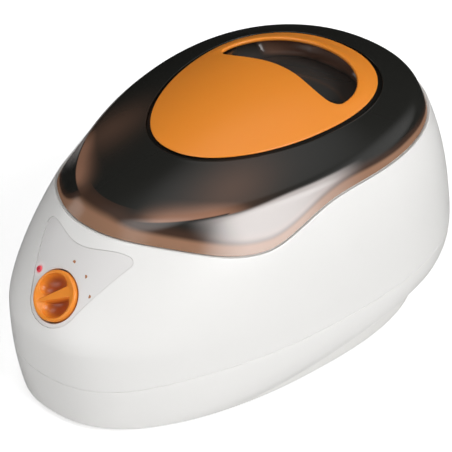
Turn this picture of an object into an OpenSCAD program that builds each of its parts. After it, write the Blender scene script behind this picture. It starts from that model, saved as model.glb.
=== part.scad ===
// Table-top paraffin wax warmer: an egg-shaped tub with a tank, heater and
// thermostat inside, under a lid that lifts off by its handle plate.
// Millimetres. +Z is up, the nose with the knob faces -Y, and the origin is on
// the floor under the middle of the tub.

/* [Tub] */
// Length of the tub at its fullest level, nose to tail
body_len = 380; // [372:1:392]
// Width of the tub at its fullest level
body_w = 235; // [228:1:242]
// Thickness of the moulded tub wall
wall = 3; // [2.6:0.1:3.4]
// Height of the nose's fullest level
nose_girth_z = 70; // [66:1:74]
// How far the nose draws in from its fullest level down to the foot
nose_foot_in = 8; // [6:0.5:10]
// How far the nose leans back from its fullest level up to the reference height
nose_rim_in = 95; // [92:1:98]
// Height of the tail's fullest level
tail_girth_z = 50; // [47:1:53]
// How far the tail draws in down to the foot
tail_foot_in = 50; // [46:1:52]
// How far the tail leans in up to the reference height
tail_rim_in = 36; // [33:1:38]
// Height of the sides' fullest level
side_girth_z = 52; // [49:1:55]
// How far each side draws in down to the foot
side_foot_in = 14.4; // [13:0.2:16]
// How far each side leans in up to the reference height
side_rim_in = 34; // [32:0.5:36]
// How much higher the tub's lower edge lies at the tail than at the nose
foot_rise = 22.5; // [20:0.5:24]
// Height of the parting line between the two tub mouldings
parting_side_z = 47; // [45:0.5:49]
// How far the parting line dips at the nose
parting_nose_drop = 7; // [5:0.5:8]

/* [Seam under the lid] */
// Height of the tub's rim at the nose
seam_nose_z = 139.8; // [138.5:0.1:141]
// Height of the tub's rim at the tail
seam_tail_z = 145; // [143.5:0.5:147]
// Depth of the wave in the rim on each side
lobe_drop = 18.2; // [16.5:0.1:18.6]
// Height of the ridge inside the rim that locates the lid
rim_h = 8; // [7:0.5:9]

/* [Lid] */
// Wall thickness of the lid
lid_wall = 2.6; // [2.4:0.1:2.8]
// Step from the tub's outside in to the lid's outside
lid_step = 1.8; // [1.5:0.1:2]
// Height of the lid's crease at the nose
crease_nose_z = 147; // [146:0.5:148]
// Height of the lid's crease at the tail
crease_tail_z = 161; // [160:0.5:163]
// Rise of the dome above its crease
dome_h = 20.5; // [19:0.5:22]
// Depth of the finger well under the handle
well_depth = 16; // [15:0.5:17]

/* [Handle plate] */
// Length of the plate
plate_len = 186.4; // [180:0.4:189.2]
// Width of the plate
plate_w = 133.6; // [130:0.4:136]
// Place of the plate's middle along the lid
plate_y = 33.2; // [32:0.2:34]
// Thickness of the plate
plate_t = 3.2; // [2.8:0.1:3.4]
// How deep the plate is sunk into the lid
plate_sink = 3; // [2.8:0.1:3.2]
// How much the lid and plate bulge above the dome at the plate's middle
plate_crown = 4; // [3:0.2:4.6]
// Half the width of the hand opening
opening_half = 56.6; // [55:0.2:57.4]
// Depth of the opening's round rear side
opening_rear = 48.4; // [46.6:0.1:49]
// Height of the grip's bead round the opening's rear side
grip_h = 0.8; // [0.5:0.1:1.2]

/* [Control panel] */
// Height of the knob's centre
knob_z = 100.7; // [99.5:0.1:102]
// Lean of the control panel from upright
panel_tilt = 37; // [36:0.5:38]
// Radius of the knob
knob_r = 17.9; // [17.4:0.1:18.4]
// Thickness of the panel
panel_t = 3; // [2.6:0.1:3.2]
// Radius of the round foot of the panel
panel_foot_r = 22; // [21.8:0.1:23]
// Distance from the knob's centre to the lamp lens
lens_at = 25.2; // [25:0.1:26]
// Radius of the lamp lens
lens_r = 2.2; // [1.9:0.1:2.3]
// Radius of the thermostat's spindle
spindle_r = 3; // [2.8:0.1:3.2]

/* [Tank and heater] */
// Height of the tank's flange
tank_top_z = 117; // [116.4:0.1:117.4]
// Height of the underside of the tank floor
tank_floor_z = 32; // [31:0.5:34]
// Gap from the tub's nose to the tank
tank_nose_gap = 46; // [45:0.5:49]
// Gap from the tub's tail to the tank
tank_tail_gap = 36; // [35:0.5:38]
// Gap from the tub's side to the tank
tank_side_gap = 28; // [27:0.5:30]
// Thickness of the tank's sheet
tank_t = 1.2; // [1:0.1:1.5]
// Radius where the tank's wall meets its floor
tank_corner = 14; // [12:0.5:15]
// Thickness of the insulation round the tank
insulation_t = 8; // [6:0.5:9]
// Height of the wax grille above the tank floor
grille_h = 9; // [8:0.5:11]

/* [Base and inlet] */
// Thickness of the base pan's floor
pan_t = 2.2; // [2:0.1:2.5]
// Thickness of the rubber feet
foot_t = 1.6; // [1.5:0.1:2]
// Radius of the rubber feet
foot_r = 10; // [8:0.5:11]
// How far the plinth is set back from the tub's lower edge at the nose
plinth_nose_in = 4.3; // [3.5:0.1:5.5]
// How far the plinth is set back from the tub's fullest length at the tail
plinth_tail_in = 37.3; // [34:0.5:40]
// How far the plinth is set back from the tub's fullest width at each side
plinth_side_in = 13.2; // [13:0.1:15]
// Width of the power inlet
inlet_w = 27; // [26:0.5:28]
// Height of the power inlet
inlet_h = 20; // [19:0.5:21]
// Height of the power inlet's centre
inlet_z = 74; // [72:0.5:76]

/* [Hidden] */

// Colours
white = [0.93, 0.93, 0.91];
grey_white = [0.82, 0.82, 0.80];
smoke = [0.16, 0.12, 0.10, 0.75];
orange = [0.93, 0.53, 0.14];
metal = [0.76, 0.77, 0.78];
brass = [0.78, 0.62, 0.33];
black = [0.09, 0.09, 0.10];

// Steps round each egg-shaped outline, and on round bores and discs
steps = 64;
$fn = 48;
angles = [for (i = [0:steps - 1]) i * 360 / steps];

// Reference levels between which the tub's profiles are given
foot_ref_z = 6;
rim_ref_z = 175;
// Powers that round each profile: towards the foot, then towards the rim
nose_pows = [1.6, 1.5];
tail_pows = [3.2, 1.5];
side_pows = [3, 3.2];
// How much wider the egg is towards the tail, and how square it is
foot_skew = 0.143;
rim_skew = 0.185;
foot_square = 2.36;
rim_square = 2.1;
// Place of the rim's wave along the tub, -1 at the nose and 1 at the tail,
// and how fast it fades towards each end
lobe_at = -0.441;
lobe_nose_run = 0.378;
lobe_tail_run = 0.222;
// How fast the parting line's dip fades from the nose
parting_run = 0.25;

// Clearances: between fixed mouldings, beside the lid's skirt, round the lens
// and marks, and on radius for shafts and for screws
fit_gap = 0.3;
skirt_gap = 0.6;
trim_gap = 0.1;
pin_gap = 0.05;
screw_gap = 0.3;
// Gap left beyond the end of a screw, and how far a cut runs past a face
end_gap = 1;
over = 1;

// Levels of the base pan's floor and of the tub's lower edge above it
pan_lip = 0.5;
pan_top_z = foot_t + pan_t;
foot_nose_z = pan_top_z + pan_lip + fit_gap;
// Places along the tub, -1 at the nose and 1 at the tail, between which its
// lower edge climbs
foot_from = -0.35;
foot_to = 0.35;

function mix(a, b, t) = a + (b - a) * t;
function spow(v, p) = sign(v) * pow(abs(v), p);
function smooth(t) = let (u = max(0, min(1, t))) u * u * (3 - 2 * u);

// One point of an egg outline, widest towards the rear
function egg(a, front, rear, half, skew, square) =
    let (s = spow(sin(a), 2 / square), c = spow(cos(a), 2 / square))
    [half * c * (1 + skew * s), mix(front, rear, (1 + s) / 2)];

// How far out a point lies from an egg's middle: 1 on the outline itself
function egg_norm(x, y, front, rear, half, skew, square) =
    let (s = (2 * y - front - rear) / (rear - front),
         w = half * (1 + skew * max(-1, min(1, s))))
    pow(pow(abs(x / w), square) + pow(abs(s), square), 1 / square);

// Draw-in of a profile at height z, with its fullest level at girth
function barrel(z, girth, low, high, pows) =
    z < girth ? low * pow((girth - z) / (girth - foot_ref_z), pows[0])
              : high * pow((z - girth) / (rim_ref_z - girth), pows[1]);

function nose_y(z) = -body_len / 2 + barrel(z, nose_girth_z, nose_foot_in, nose_rim_in, nose_pows);
function tail_y(z) = body_len / 2 - barrel(z, tail_girth_z, tail_foot_in, tail_rim_in, tail_pows);
function side_x(z) = body_w / 2 - barrel(z, side_girth_z, side_foot_in, side_rim_in, side_pows);
function level(z) = (z - foot_ref_z) / (rim_ref_z - foot_ref_z);
function skew_at(z) = mix(foot_skew, rim_skew, level(z));
function square_at(z) = mix(foot_square, rim_square, level(z));

// A point of the tub's outside, moved in by inset
function shell_pt(a, z, inset = 0) =
    concat(egg(a, nose_y(z) + inset, tail_y(z) - inset, side_x(z) - inset,
               skew_at(z), square_at(z)), z);
function shell_norm(x, y, z) =
    egg_norm(x, y, nose_y(z), tail_y(z), side_x(z), skew_at(z), square_at(z));

// Place along the tub, -1 at the nose to 1 at the tail, and the heights there
function along(a) = spow(sin(a), 2 / rim_square);
function foot_z(a) =
    foot_nose_z + foot_rise * smooth((along(a) - foot_from) / (foot_to - foot_from));
function parting_z(a) =
    parting_side_z - parting_nose_drop * exp(-pow((along(a) + 1) / parting_run, 2));
function seam_z(a) =
    let (s = along(a), d = s - lobe_at, run = d < 0 ? lobe_nose_run : lobe_tail_run)
    mix(seam_nose_z, seam_tail_z, (1 + s) / 2) - lobe_drop * exp(-pow(d / run, 2));
function crease_z(a) = mix(crease_nose_z, crease_tail_z, (1 + along(a)) / 2);

// The lid's crease is one egg outline in a plane that climbs to the tail
crease_mid_z = (crease_nose_z + crease_tail_z) / 2;
crease_y0 = nose_y(crease_nose_z) + lid_step;
crease_y1 = tail_y(crease_tail_z) - lid_step;
crease_x = side_x(crease_mid_z) - lid_step;
function crease_plane(y) =
    mix(crease_nose_z, crease_tail_z, (y - crease_y0) / (crease_y1 - crease_y0));
function crease_xy(a, inset = 0) =
    egg(a, crease_y0 + inset, crease_y1 - inset, crease_x - inset, rim_skew, rim_square);

// The dome rises from the crease towards a point behind the lid's middle
dome_y = 33;
rho_least = 0.001;
function skirt_pt(a, u, inset) =
    let (low = shell_pt(a, seam_z(a), lid_step + inset), xy = crease_xy(a, inset),
         high = [xy[0], xy[1], crease_plane(xy[1])])
    mix(low, high, u);
function lid_rho(x, y, r = 0.6, i = 6) =
    i == 0 ? r
           : lid_rho(x, y, max(rho_least, r * egg_norm(x / r, dome_y + (y - dome_y) / r, crease_y0,
                                                       crease_y1, crease_x, rim_skew, rim_square)), i - 1);
function dome_z(rho, y) = crease_plane(y) + dome_h * (1 - rho * rho);

// The lid bulges a little more under the handle plate, which is an egg too
plate_skew = 0.182;
plate_square = 2.14;
function plate_norm(x, y) =
    egg_norm(x, y - plate_y, -plate_len / 2, plate_len / 2, plate_w / 2, plate_skew, plate_square);
function crown(x, y) = plate_crown * max(0, 1 - pow(plate_norm(x, y), 2));
function cap_z(x, y) = dome_z(lid_rho(x, y), y) + crown(x, y);

// The finger well: a rounded trough under the opening and the grip, which ends
// before the plate's edge
opening_back = 26.3;
opening_y = plate_y + opening_back;
well_side = 5.2;
well_short = 9.7;
well_back = 24.5;
well_half = opening_half + well_side;
well_run = opening_rear - well_short;
well_y = opening_y + well_back;
well_edge = 0.72;
function well(x, y) =
    let (r = pow(pow(abs(x / well_half), 3) + pow(abs((y - well_y) / well_run), 3), 1 / 3),
         most = max(r, 2 * plate_norm(x, y) - 1))
    well_depth * (1 - smooth((most - well_edge) / (1 - well_edge)));
// The lid's inside steps down round the recess that holds the plate
step_from = 1.08;
step_run = 0.1;
function under_step(x, y) =
    max(well(x, y), plate_sink * (1 - smooth((plate_norm(x, y) - step_from) / step_run)));
function lid_xy(a, rho, inset) =
    let (c = crease_xy(a, inset)) [c[0] * rho, dome_y + (c[1] - dome_y) * rho];
function lid_pt(a, rho) =
    let (p = lid_xy(a, rho, 0))
    concat(p, dome_z(rho, p[1]) + crown(p[0], p[1]) - well(p[0], p[1]));
function lid_under_pt(a, rho) =
    let (p = lid_xy(a, rho, lid_wall))
    concat(p, dome_z(rho, p[1]) + crown(p[0], p[1]) - under_step(p[0], p[1]) - lid_wall);

// Closed skins: a wall that wraps round on itself, and a dish with two middles
function row_faces(n, i, k) =
    [for (j = [0:n - 1]) let (m = (j + 1) % n)
        each [[i + j, k + j, k + m], [i + j, k + m, i + m]]];
module ring_wall(rows) {
    n = len(rows[0]);
    m = len(rows);
    polyhedron(points = [for (r = rows) each r],
        faces = [for (i = [0:m - 1]) each row_faces(n, i * n, ((i + 1) % m) * n)]);
}
module dish(start, rows, finish) {
    n = len(rows[0]);
    m = len(rows);
    last = 1 + (m - 1) * n;
    polyhedron(points = concat([start], [for (r = rows) each r], [finish]),
        faces = concat([for (j = [0:n - 1]) [0, 1 + j, 1 + (j + 1) % n]],
            [for (i = [0:m - 2]) each row_faces(n, 1 + i * n, 1 + (i + 1) * n)],
            [for (j = [0:n - 1]) [last + j, 1 + m * n, last + (j + 1) % n]]));
}

// A wire or tube of radius r along hand-placed points, rounded between them
wire_sides = 6;
wire_steps = 3;
wire_turn = [1, 0.1, 0.15];
function bend(p0, p1, p2, p3, t) =
    0.5 * (2 * p1 + (p2 - p0) * t + (2 * p0 - 5 * p1 + 4 * p2 - p3) * t * t
           + (3 * p1 - p0 - 3 * p2 + p3) * t * t * t);
function route(pts) =
    let (n = len(pts))
    concat([for (i = [0:n - 2], k = [0:wire_steps - 1])
        bend(pts[max(0, i - 1)], pts[i], pts[i + 1], pts[min(n - 1, i + 2)], k / wire_steps)],
        [pts[n - 1]]);
function unit(v) = v / norm(v);
function way(pts, i) = unit(pts[min(len(pts) - 1, i + 1)] - pts[max(0, i - 1)]);
module wire(points, r) {
    pts = route(points);
    n = len(pts);
    rings = [for (i = [0:n - 1])
        let (d = way(pts, i), side = unit(cross(d, wire_turn)), up = cross(d, side))
        [for (j = [0:wire_sides - 1])
            let (a = j * 360 / wire_sides) pts[i] + r * (cos(a) * side + sin(a) * up)]];
    dish(pts[0], rings, pts[n - 1]);
}

module outline(offset_by, front, rear, half, skew, square) {
    polygon([for (a = angles)
        egg(a, front - offset_by, rear + offset_by, half + offset_by, skew, square)]);
}
module hexagon(flats, h) { cylinder(r = flats / sqrt(3), h = h, $fn = 6); }
module screw(r, length, head_r, head_h) {
    cylinder(r = r, h = length);
    translate([0, 0, -head_h]) cylinder(r = head_r, h = head_h);
}

// Upper half of the tub, with a tongue that enters the lower half
parting_gap = 0.4;
parting_round = 0.7;
tongue_t = 2;
tongue_h = 7;
module upper_shell() {
    tongue_in = wall + fit_gap;
    levels = [0.1, 0.22, 0.3, 0.38, 0.48, 0.6, 0.74, 0.88, 1];
    color(white) difference() {
        ring_wall(concat(
            [[for (a = angles) shell_pt(a, parting_z(a) + parting_gap / 2, parting_round)],
             [for (a = angles) shell_pt(a, parting_z(a) + parting_gap / 2 + parting_round)]],
            [for (u = levels)
                [for (a = angles) shell_pt(a, mix(parting_z(a), seam_z(a), u))]],
            [[for (a = angles) shell_pt(a, seam_z(a), wall)],
             [for (a = angles) shell_pt(a, seam_z(a) - collar_root, wall)]],
            [for (i = [len(levels) - 2:-1:1])
                [for (a = angles) shell_pt(a, mix(parting_z(a), seam_z(a), levels[i]), wall)]],
            [[for (a = angles) shell_pt(a, parting_z(a) + tongue_h, wall)],
             [for (a = angles) shell_pt(a, parting_z(a) + tongue_h / 2, tongue_in + tongue_t)],
             [for (a = angles) shell_pt(a, parting_z(a) - tongue_h, tongue_in + tongue_t)],
             [for (a = angles) shell_pt(a, parting_z(a) - tongue_h, tongue_in)],
             [for (a = angles) shell_pt(a, parting_z(a) - tongue_h / 2, tongue_in)],
             [for (a = angles) shell_pt(a, parting_z(a) + parting_gap / 2, tongue_in)]]));
        knob_frame() translate([0, 0, -panel_cut]) linear_extrude(2 * panel_cut) shield(fit_gap);
        inlet_frame() translate([-inlet_w / 2 - fit_gap, -inlet_h / 2 - fit_gap, -inlet_depth])
            cube([inlet_w + 2 * fit_gap, inlet_h + 2 * fit_gap, 2 * inlet_depth]);
    }
}

// Plinth: an egg of its own under the tub
plinth_skew = 0.176;
plinth_square = 2.367;
plinth_y0 = nose_y(foot_nose_z) + plinth_nose_in;
plinth_y1 = body_len / 2 - plinth_tail_in;
plinth_x = body_w / 2 - plinth_side_in;
plinth_mid = (plinth_y0 + plinth_y1) / 2;
function plinth_pt(a, inset, z) =
    concat(egg(a, plinth_y0 + inset, plinth_y1 - inset, plinth_x - inset, plinth_skew,
               plinth_square), z);

// Lower half of the tub. A ledge runs in from its lower edge over the plinth's
// wall, and the base pan is screwed to four bosses
ledge_t = 3;
boss_r = 4.5;
boss_top_z = 25;
boss_in = 12;
rib_h = 5;
rib_drop = 1;
boss_angles = [38, 142, 218, 322];
screw_r = 1.6;
thin_screw_r = 1.3;
thin_head_r = 2.6;
pilot_depth = 12;
function boss_xy(a) = let (p = plinth_pt(a, boss_in, 0)) [p[0], p[1]];
function boss_top(a) = max(boss_top_z, foot_z(a) + rib_h + 2 * rib_drop);
module boss_rib(a) {
    base = boss_top(a) - rib_h - rib_drop;
    tip = shell_pt(a, base, wall / 2);
    run = [tip[0], tip[1]] - boss_xy(a);
    translate([boss_xy(a)[0], boss_xy(a)[1], base]) rotate([0, 0, atan2(run[1], run[0])])
        translate([0, -wall / 2, 0]) cube([norm(run), wall, rib_h]);
}
module lower_shell() {
    color(white) difference() {
        union() {
            ring_wall(concat(
                [[for (a = angles) shell_pt(a, foot_z(a), parting_round)]],
                [for (u = [0.04, 0.2, 0.42, 0.7])
                    [for (a = angles) shell_pt(a, mix(foot_z(a), parting_z(a), u))]],
                [[for (a = angles) shell_pt(a, parting_z(a) - parting_gap / 2 - parting_round)],
                 [for (a = angles) shell_pt(a, parting_z(a) - parting_gap / 2, parting_round)],
                 [for (a = angles) shell_pt(a, parting_z(a) - parting_gap / 2, wall)]],
                [for (h = [tongue_h / 2, tongue_h])
                    [for (a = angles) shell_pt(a, parting_z(a) - h, wall)]],
                [for (u = [0.55, 0.3])
                    [for (a = angles) shell_pt(a, mix(foot_z(a), parting_z(a), u), wall)]],
                [[for (a = angles) shell_pt(a, foot_z(a) + ledge_t, wall)],
                 [for (a = angles) plinth_pt(a, wall, foot_z(a) + ledge_t)],
                 [for (a = angles) plinth_pt(a, wall, foot_z(a))],
                 [for (a = angles) plinth_pt(a, 0, foot_z(a))]]));
            for (a = boss_angles) {
                translate([boss_xy(a)[0], boss_xy(a)[1], pan_top_z])
                    cylinder(r = boss_r, h = boss_top(a) - pan_top_z);
                boss_rib(a);
            }
        }
        for (a = boss_angles) translate([boss_xy(a)[0], boss_xy(a)[1], pan_top_z - over])
            cylinder(r = screw_r + pin_gap, h = over + pilot_depth);
    }
}

// Base pan: the plinth under the tub, closed by a flat floor
plinth_round = 0.8;
module base_pan() {
    color(grey_white) difference() {
        dish([0, plinth_mid, foot_t],
            [[for (a = angles) plinth_pt(a, plinth_round, foot_t)],
             [for (a = angles) plinth_pt(a, 0, foot_t + plinth_round)],
             [for (a = angles) plinth_pt(a, 0, foot_z(a) - fit_gap)],
             [for (a = angles) plinth_pt(a, wall, foot_z(a) - fit_gap)],
             [for (a = angles) plinth_pt(a, wall, pan_top_z)]],
            [0, plinth_mid, pan_top_z]);
        for (a = boss_angles) translate([boss_xy(a)[0], boss_xy(a)[1], 0])
            cylinder(r = screw_r + screw_gap, h = pan_top_z + over);
    }
}

foot_tail_x = 62;
foot_nose_x = 50;
foot_tail_y = 100;
foot_nose_y = -128;
foot_edge = 1;
module feet() {
    color(black) for (side = [-1, 1], at = [[foot_nose_x, foot_nose_y], [foot_tail_x, foot_tail_y]])
        translate([side * at[0], at[1], 0]) rotate_extrude()
        polygon([[0, 0], [foot_r - foot_edge, 0], [foot_r, foot_t / 2], [foot_r, foot_t], [0, foot_t]]);
}

screw_head_r = 3.2;
screw_head_h = 1.2;
module base_screws() {
    color(metal) for (a = boss_angles) translate([boss_xy(a)[0], boss_xy(a)[1], foot_t])
        screw(screw_r, pan_t + pilot_depth - end_gap, screw_head_r, screw_head_h);
}

// Tank: a drawn pan with a round-cornered floor and a flat flange
tank_draft = 3;
flange_w = 12;
tank_y0 = nose_y(tank_top_z) + tank_nose_gap;
tank_y1 = tail_y(tank_top_z) - tank_tail_gap;
tank_x = side_x(tank_top_z) - tank_side_gap;
tank_skew = 0.16;
tank_square = 2.35;
tank_mid = (tank_y0 + tank_y1) / 2;
function tank_pt(a, grow, z) =
    concat(egg(a, tank_y0 - grow, tank_y1 + grow, tank_x + grow, tank_skew, tank_square), z);
function corner_row(b, r, t) =
    [for (a = angles) tank_pt(a, -tank_draft - r + r * sin(b) - t, tank_floor_z + t + r * (1 - cos(b)))];
module tank() {
    inner = tank_corner - tank_t;
    color(metal) difference() {
        dish([0, tank_mid, tank_floor_z],
            concat(
                [for (b = [0, 30, 60, 90]) corner_row(b, tank_corner, 0)],
                [[for (a = angles) tank_pt(a, 0, tank_top_z - tank_t)],
                 [for (a = angles) tank_pt(a, flange_w, tank_top_z - tank_t)],
                 [for (a = angles) tank_pt(a, flange_w, tank_top_z)],
                 [for (a = angles) tank_pt(a, -tank_t, tank_top_z)]],
                [for (b = [90, 60, 30, 0]) corner_row(b, inner, tank_t)]),
            [0, tank_mid, tank_floor_z + tank_t]);
        for (a = collar_screw_angles)
            translate([collar_xy(a)[0], collar_xy(a)[1], tank_top_z - tank_t - over])
            cylinder(r = thin_screw_r + screw_gap, h = tank_t + 2 * over);
    }
}

// Collar: carries the tank, and its ridge locates the lid
land_over = 2;
land_t = 2.4;
gasket_t = 1.6;
ridge_t = 2.2;
ridge_edge = 0.8;
shoulder_drop = 1;
collar_root = 3.6;
collar_screw_in = 3.5;
collar_boss_r = 3;
collar_screw_angles = [0, 60, 120, 180, 240, 300];
function collar_xy(a) = let (p = tank_pt(a, flange_w - collar_screw_in, 0)) [p[0], p[1]];
land_z = tank_top_z + gasket_t;
ridge_most = 0.42;
function ridge_u(a) = min(ridge_most, rim_h / (crease_z(a) - seam_z(a)));
module rim_collar() {
    hold = wall + fit_gap;
    ridge_in = lid_wall + skirt_gap;
    color(white) difference() {
        union() {
            ring_wall([
                [for (a = angles) shell_pt(a, seam_z(a) - collar_root, hold + ridge_t)],
                [for (a = angles) shell_pt(a, seam_z(a) - collar_root, hold)],
                [for (a = angles) shell_pt(a, seam_z(a) - shoulder_drop, hold)],
                [for (a = angles) shell_pt(a, seam_z(a) - shoulder_drop, lid_step + ridge_in)],
                [for (a = angles) skirt_pt(a, ridge_u(a) * 0.9, ridge_in)],
                [for (a = angles) skirt_pt(a, ridge_u(a), ridge_in + ridge_edge)],
                [for (a = angles) skirt_pt(a, ridge_u(a), ridge_in + ridge_t)],
                [for (a = angles) shell_pt(a, seam_z(a) - shoulder_drop, lid_step + ridge_in + ridge_t)],
                [for (a = angles) tank_pt(a, flange_w, land_z + land_t)],
                [for (a = angles) tank_pt(a, -land_over, land_z + land_t)],
                [for (a = angles) tank_pt(a, -land_over, land_z)],
                [for (a = angles) tank_pt(a, flange_w, land_z)]]);
            for (a = collar_screw_angles) translate([collar_xy(a)[0], collar_xy(a)[1], tank_top_z])
                cylinder(r = collar_boss_r, h = gasket_t + land_t / 2);
        }
        for (a = collar_screw_angles)
            translate([collar_xy(a)[0], collar_xy(a)[1], tank_top_z - over])
            cylinder(r = thin_screw_r + pin_gap, h = over + gasket_t + land_t / 2);
    }
}

gasket_w = 4;
gasket_out = 1;
module tank_gasket() {
    color(black) translate([0, 0, tank_top_z]) linear_extrude(gasket_t) difference() {
        outline(gasket_out + gasket_w, tank_y0, tank_y1, tank_x, tank_skew, tank_square);
        outline(gasket_out, tank_y0, tank_y1, tank_x, tank_skew, tank_square);
    }
}

tank_screw_bite = 0.8;
module tank_screws() {
    color(metal) for (a = collar_screw_angles)
        translate([collar_xy(a)[0], collar_xy(a)[1], tank_top_z - tank_t])
        screw(thin_screw_r, tank_t + gasket_t + tank_screw_bite, thin_head_r, screw_head_h);
}

// Lid: a domed shell whose skirt follows the wave of the rim
screw_at = [[30, -8], [38, 34]];
module at_lid_screws() {
    for (side = [-1, 1], p = screw_at)
        translate([side * p[0], p[1], cap_z(p[0], p[1]) - plate_sink]) children();
}
pad_r = 4.5;
pad_h = 1.3;
function skirt_low(a) = fit_gap / (crease_z(a) - seam_z(a));
module lid() {
    rows = [0.12, 0.24, 0.34, 0.44, 0.53, 0.62, 0.7, 0.79, 0.88];
    middle_z = cap_z(0, dome_y);
    color(smoke) difference() {
        union() {
            at_lid_screws() translate([0, 0, -lid_wall - pad_h])
                cylinder(r = pad_r, h = pad_h + lid_wall / 2);
            dish([0, dome_y, middle_z - plate_sink - lid_wall],
                concat(
                    [for (rho = concat(rows, [1])) [for (a = angles) lid_under_pt(a, rho)]],
                    [[for (a = angles) skirt_pt(a, 0.5, lid_wall)],
                     [for (a = angles) skirt_pt(a, skirt_low(a), lid_wall)],
                     [for (a = angles) skirt_pt(a, skirt_low(a), 0)]],
                    [for (u = [0.33, 0.66]) [for (a = angles) skirt_pt(a, u, 0)]],
                    [for (rho = [1, 0.97]) [for (a = angles) lid_pt(a, rho)]],
                    [for (i = [len(rows) - 1:-1:0]) [for (a = angles) lid_pt(a, rows[i])]]),
                [0, dome_y, middle_z]);
        }
        plate_recess();
        at_lid_screws() translate([0, 0, -2 * lid_wall])
            cylinder(r = thin_screw_r + screw_gap, h = 2 * lid_wall + over);
    }
}

// Handle plate: it lies in a shallow recess of the lid and follows its bulge. A
// low bead round the rear side of the opening makes the grip
plate_gap = 0.4;
plate_side = 3.2;
recess_over = 8;
bead_at = 1.07;
bead_run = 0.1;
grip_start = -15;
grip_ramp = 20;
function plate_xy(a, rho, grow) =
    let (e = egg(a, -plate_len / 2 - grow, plate_len / 2 + grow, plate_w / 2 + grow, plate_skew,
                 plate_square))
    [e[0] * rho, plate_y + e[1] * rho];
function grip(x, y) =
    let (e = norm([x / opening_half, (y - opening_y) / opening_rear]))
    grip_h * exp(-pow((e - bead_at) / bead_run, 2)) * smooth((y - opening_y - grip_start) / grip_ramp);
function plate_pt(a, rho, up) =
    let (p = plate_xy(a, rho, 0))
    [p[0], p[1], cap_z(p[0], p[1]) - plate_sink + plate_gap + grip(p[0], p[1]) + up];
function recess_pt(a, rho, up) =
    let (p = plate_xy(a, rho, plate_side)) [p[0], p[1], cap_z(p[0], p[1]) - plate_sink + up];
module plate_recess() {
    rows = [0.3, 0.55, 0.75, 0.9, 0.985];
    low = cap_z(0, plate_y) - plate_sink;
    dish([0, plate_y, low],
        concat(
            [for (rho = concat(rows, [1])) [for (a = angles) recess_pt(a, rho, 0)]],
            [for (rho = [1, 0.3]) [for (a = angles) recess_pt(a, rho, recess_over)]]),
        [0, plate_y, low + recess_over]);
}
// Outline of the hand opening: a round rear side, two lobes and a tongue
lobe_w = 10;
lobe_run = 7.9;
tongue_out = 6.6;
lobe_x = opening_half - lobe_w;
opening_pts = concat(
    [for (a = [0:7.5:180]) [opening_half * cos(a), opening_rear * sin(a)]],
    [for (a = [195:15:270]) [-lobe_x + lobe_w * cos(a), lobe_run * sin(a)]],
    [for (i = [1:11]) let (x = lobe_x * (i / 6 - 1))
        [x, -lobe_run + tongue_out * (1 + cos(180 * x / lobe_x)) / 2]],
    [for (a = [270:15:345]) [lobe_x + lobe_w * cos(a), lobe_run * sin(a)]]);
// Share of the thickness at which the edge is fullest, and where it turns over.
// Below it the plate is undercut
edge_full = 0.74;
edge_turn = 0.92;
plate_pilot = 0.7;
plate_bite = 0.5;
module handle_plate() {
    under = [0.3, 0.55, 0.75, 0.88, 0.95];
    top = [0.975, 0.93, 0.87, 0.8, 0.7, 0.55, 0.38, 0.2];
    middle = cap_z(0, plate_y) - plate_sink + plate_gap;
    color(orange) difference() {
        dish([0, plate_y, middle],
            concat(
                [for (rho = under) [for (a = angles) plate_pt(a, rho, 0)]],
                [[for (a = angles) plate_pt(a, 1, plate_t * edge_full)],
                 [for (a = angles) plate_pt(a, 0.994, plate_t * edge_turn)]],
                [for (rho = top) [for (a = angles) plate_pt(a, rho, plate_t)]]),
            [0, plate_y, middle + plate_t]);
        translate([0, opening_y, crease_nose_z]) linear_extrude(2 * dome_h + plate_crown)
            polygon(opening_pts);
        at_lid_screws() translate([0, 0, -over])
            cylinder(r = thin_screw_r + pin_gap, h = over + plate_gap + plate_t * plate_pilot);
    }
}

module handle_screws() {
    color(metal) at_lid_screws() translate([0, 0, -lid_wall - pad_h])
        screw(thin_screw_r, lid_wall + pad_h + plate_gap + plate_t * plate_bite, thin_head_r, screw_head_h);
}

// The knob's frame: origin on the nose, local Z out along the knob's axis
module knob_frame() {
    translate([0, nose_y(knob_z), knob_z]) rotate([90 - panel_tilt, 0, 0]) children();
}
knob_out = [0, -cos(panel_tilt), sin(panel_tilt)];
knob_up = [0, sin(panel_tilt), cos(panel_tilt)];
function from_knob(u, v, w) = [u, nose_y(knob_z), knob_z] + v * knob_up + w * knob_out;
// Height of the tub's outside above the knob's frame, found by halving
surface_low = -40;
surface_high = 20;
function surface_w(u, v, low = surface_low, high = surface_high, i = 16) =
    let (w = (low + high) / 2, p = from_knob(u, v, w))
    i == 0 ? w : shell_norm(p[0], p[1], p[2]) > 1 ? surface_w(u, v, low, w, i - 1)
                                                 : surface_w(u, v, w, high, i - 1);

// Shield outline of the panel: round foot, straight sides, dipped top edge
shield_half = 36;
shield_top = 41.5;
shield_dip = 7.5;
shield_corner = 4.5;
shield_side = -15;
shield_turn = 30;
panel_cut = 28;
module shield(grow) {
    top = shield_top + shield_corner + grow;
    polygon(concat(
        [for (a = [180 - shield_side:10:360 + shield_side]) (panel_foot_r + grow) * [cos(a), sin(a)]],
        [for (a = [-shield_turn:20:90])
            [shield_half, shield_top] + (shield_corner + grow) * [cos(a), sin(a)]],
        [for (i = [1:11]) let (x = shield_half * (1 - i / 6))
            [x, top - shield_dip * (1 + cos(180 * x / shield_half)) / 2]],
        [for (a = [90:20:180 + shield_turn])
            [-shield_half, shield_top] + (shield_corner + grow) * [cos(a), sin(a)]]));
}

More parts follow.
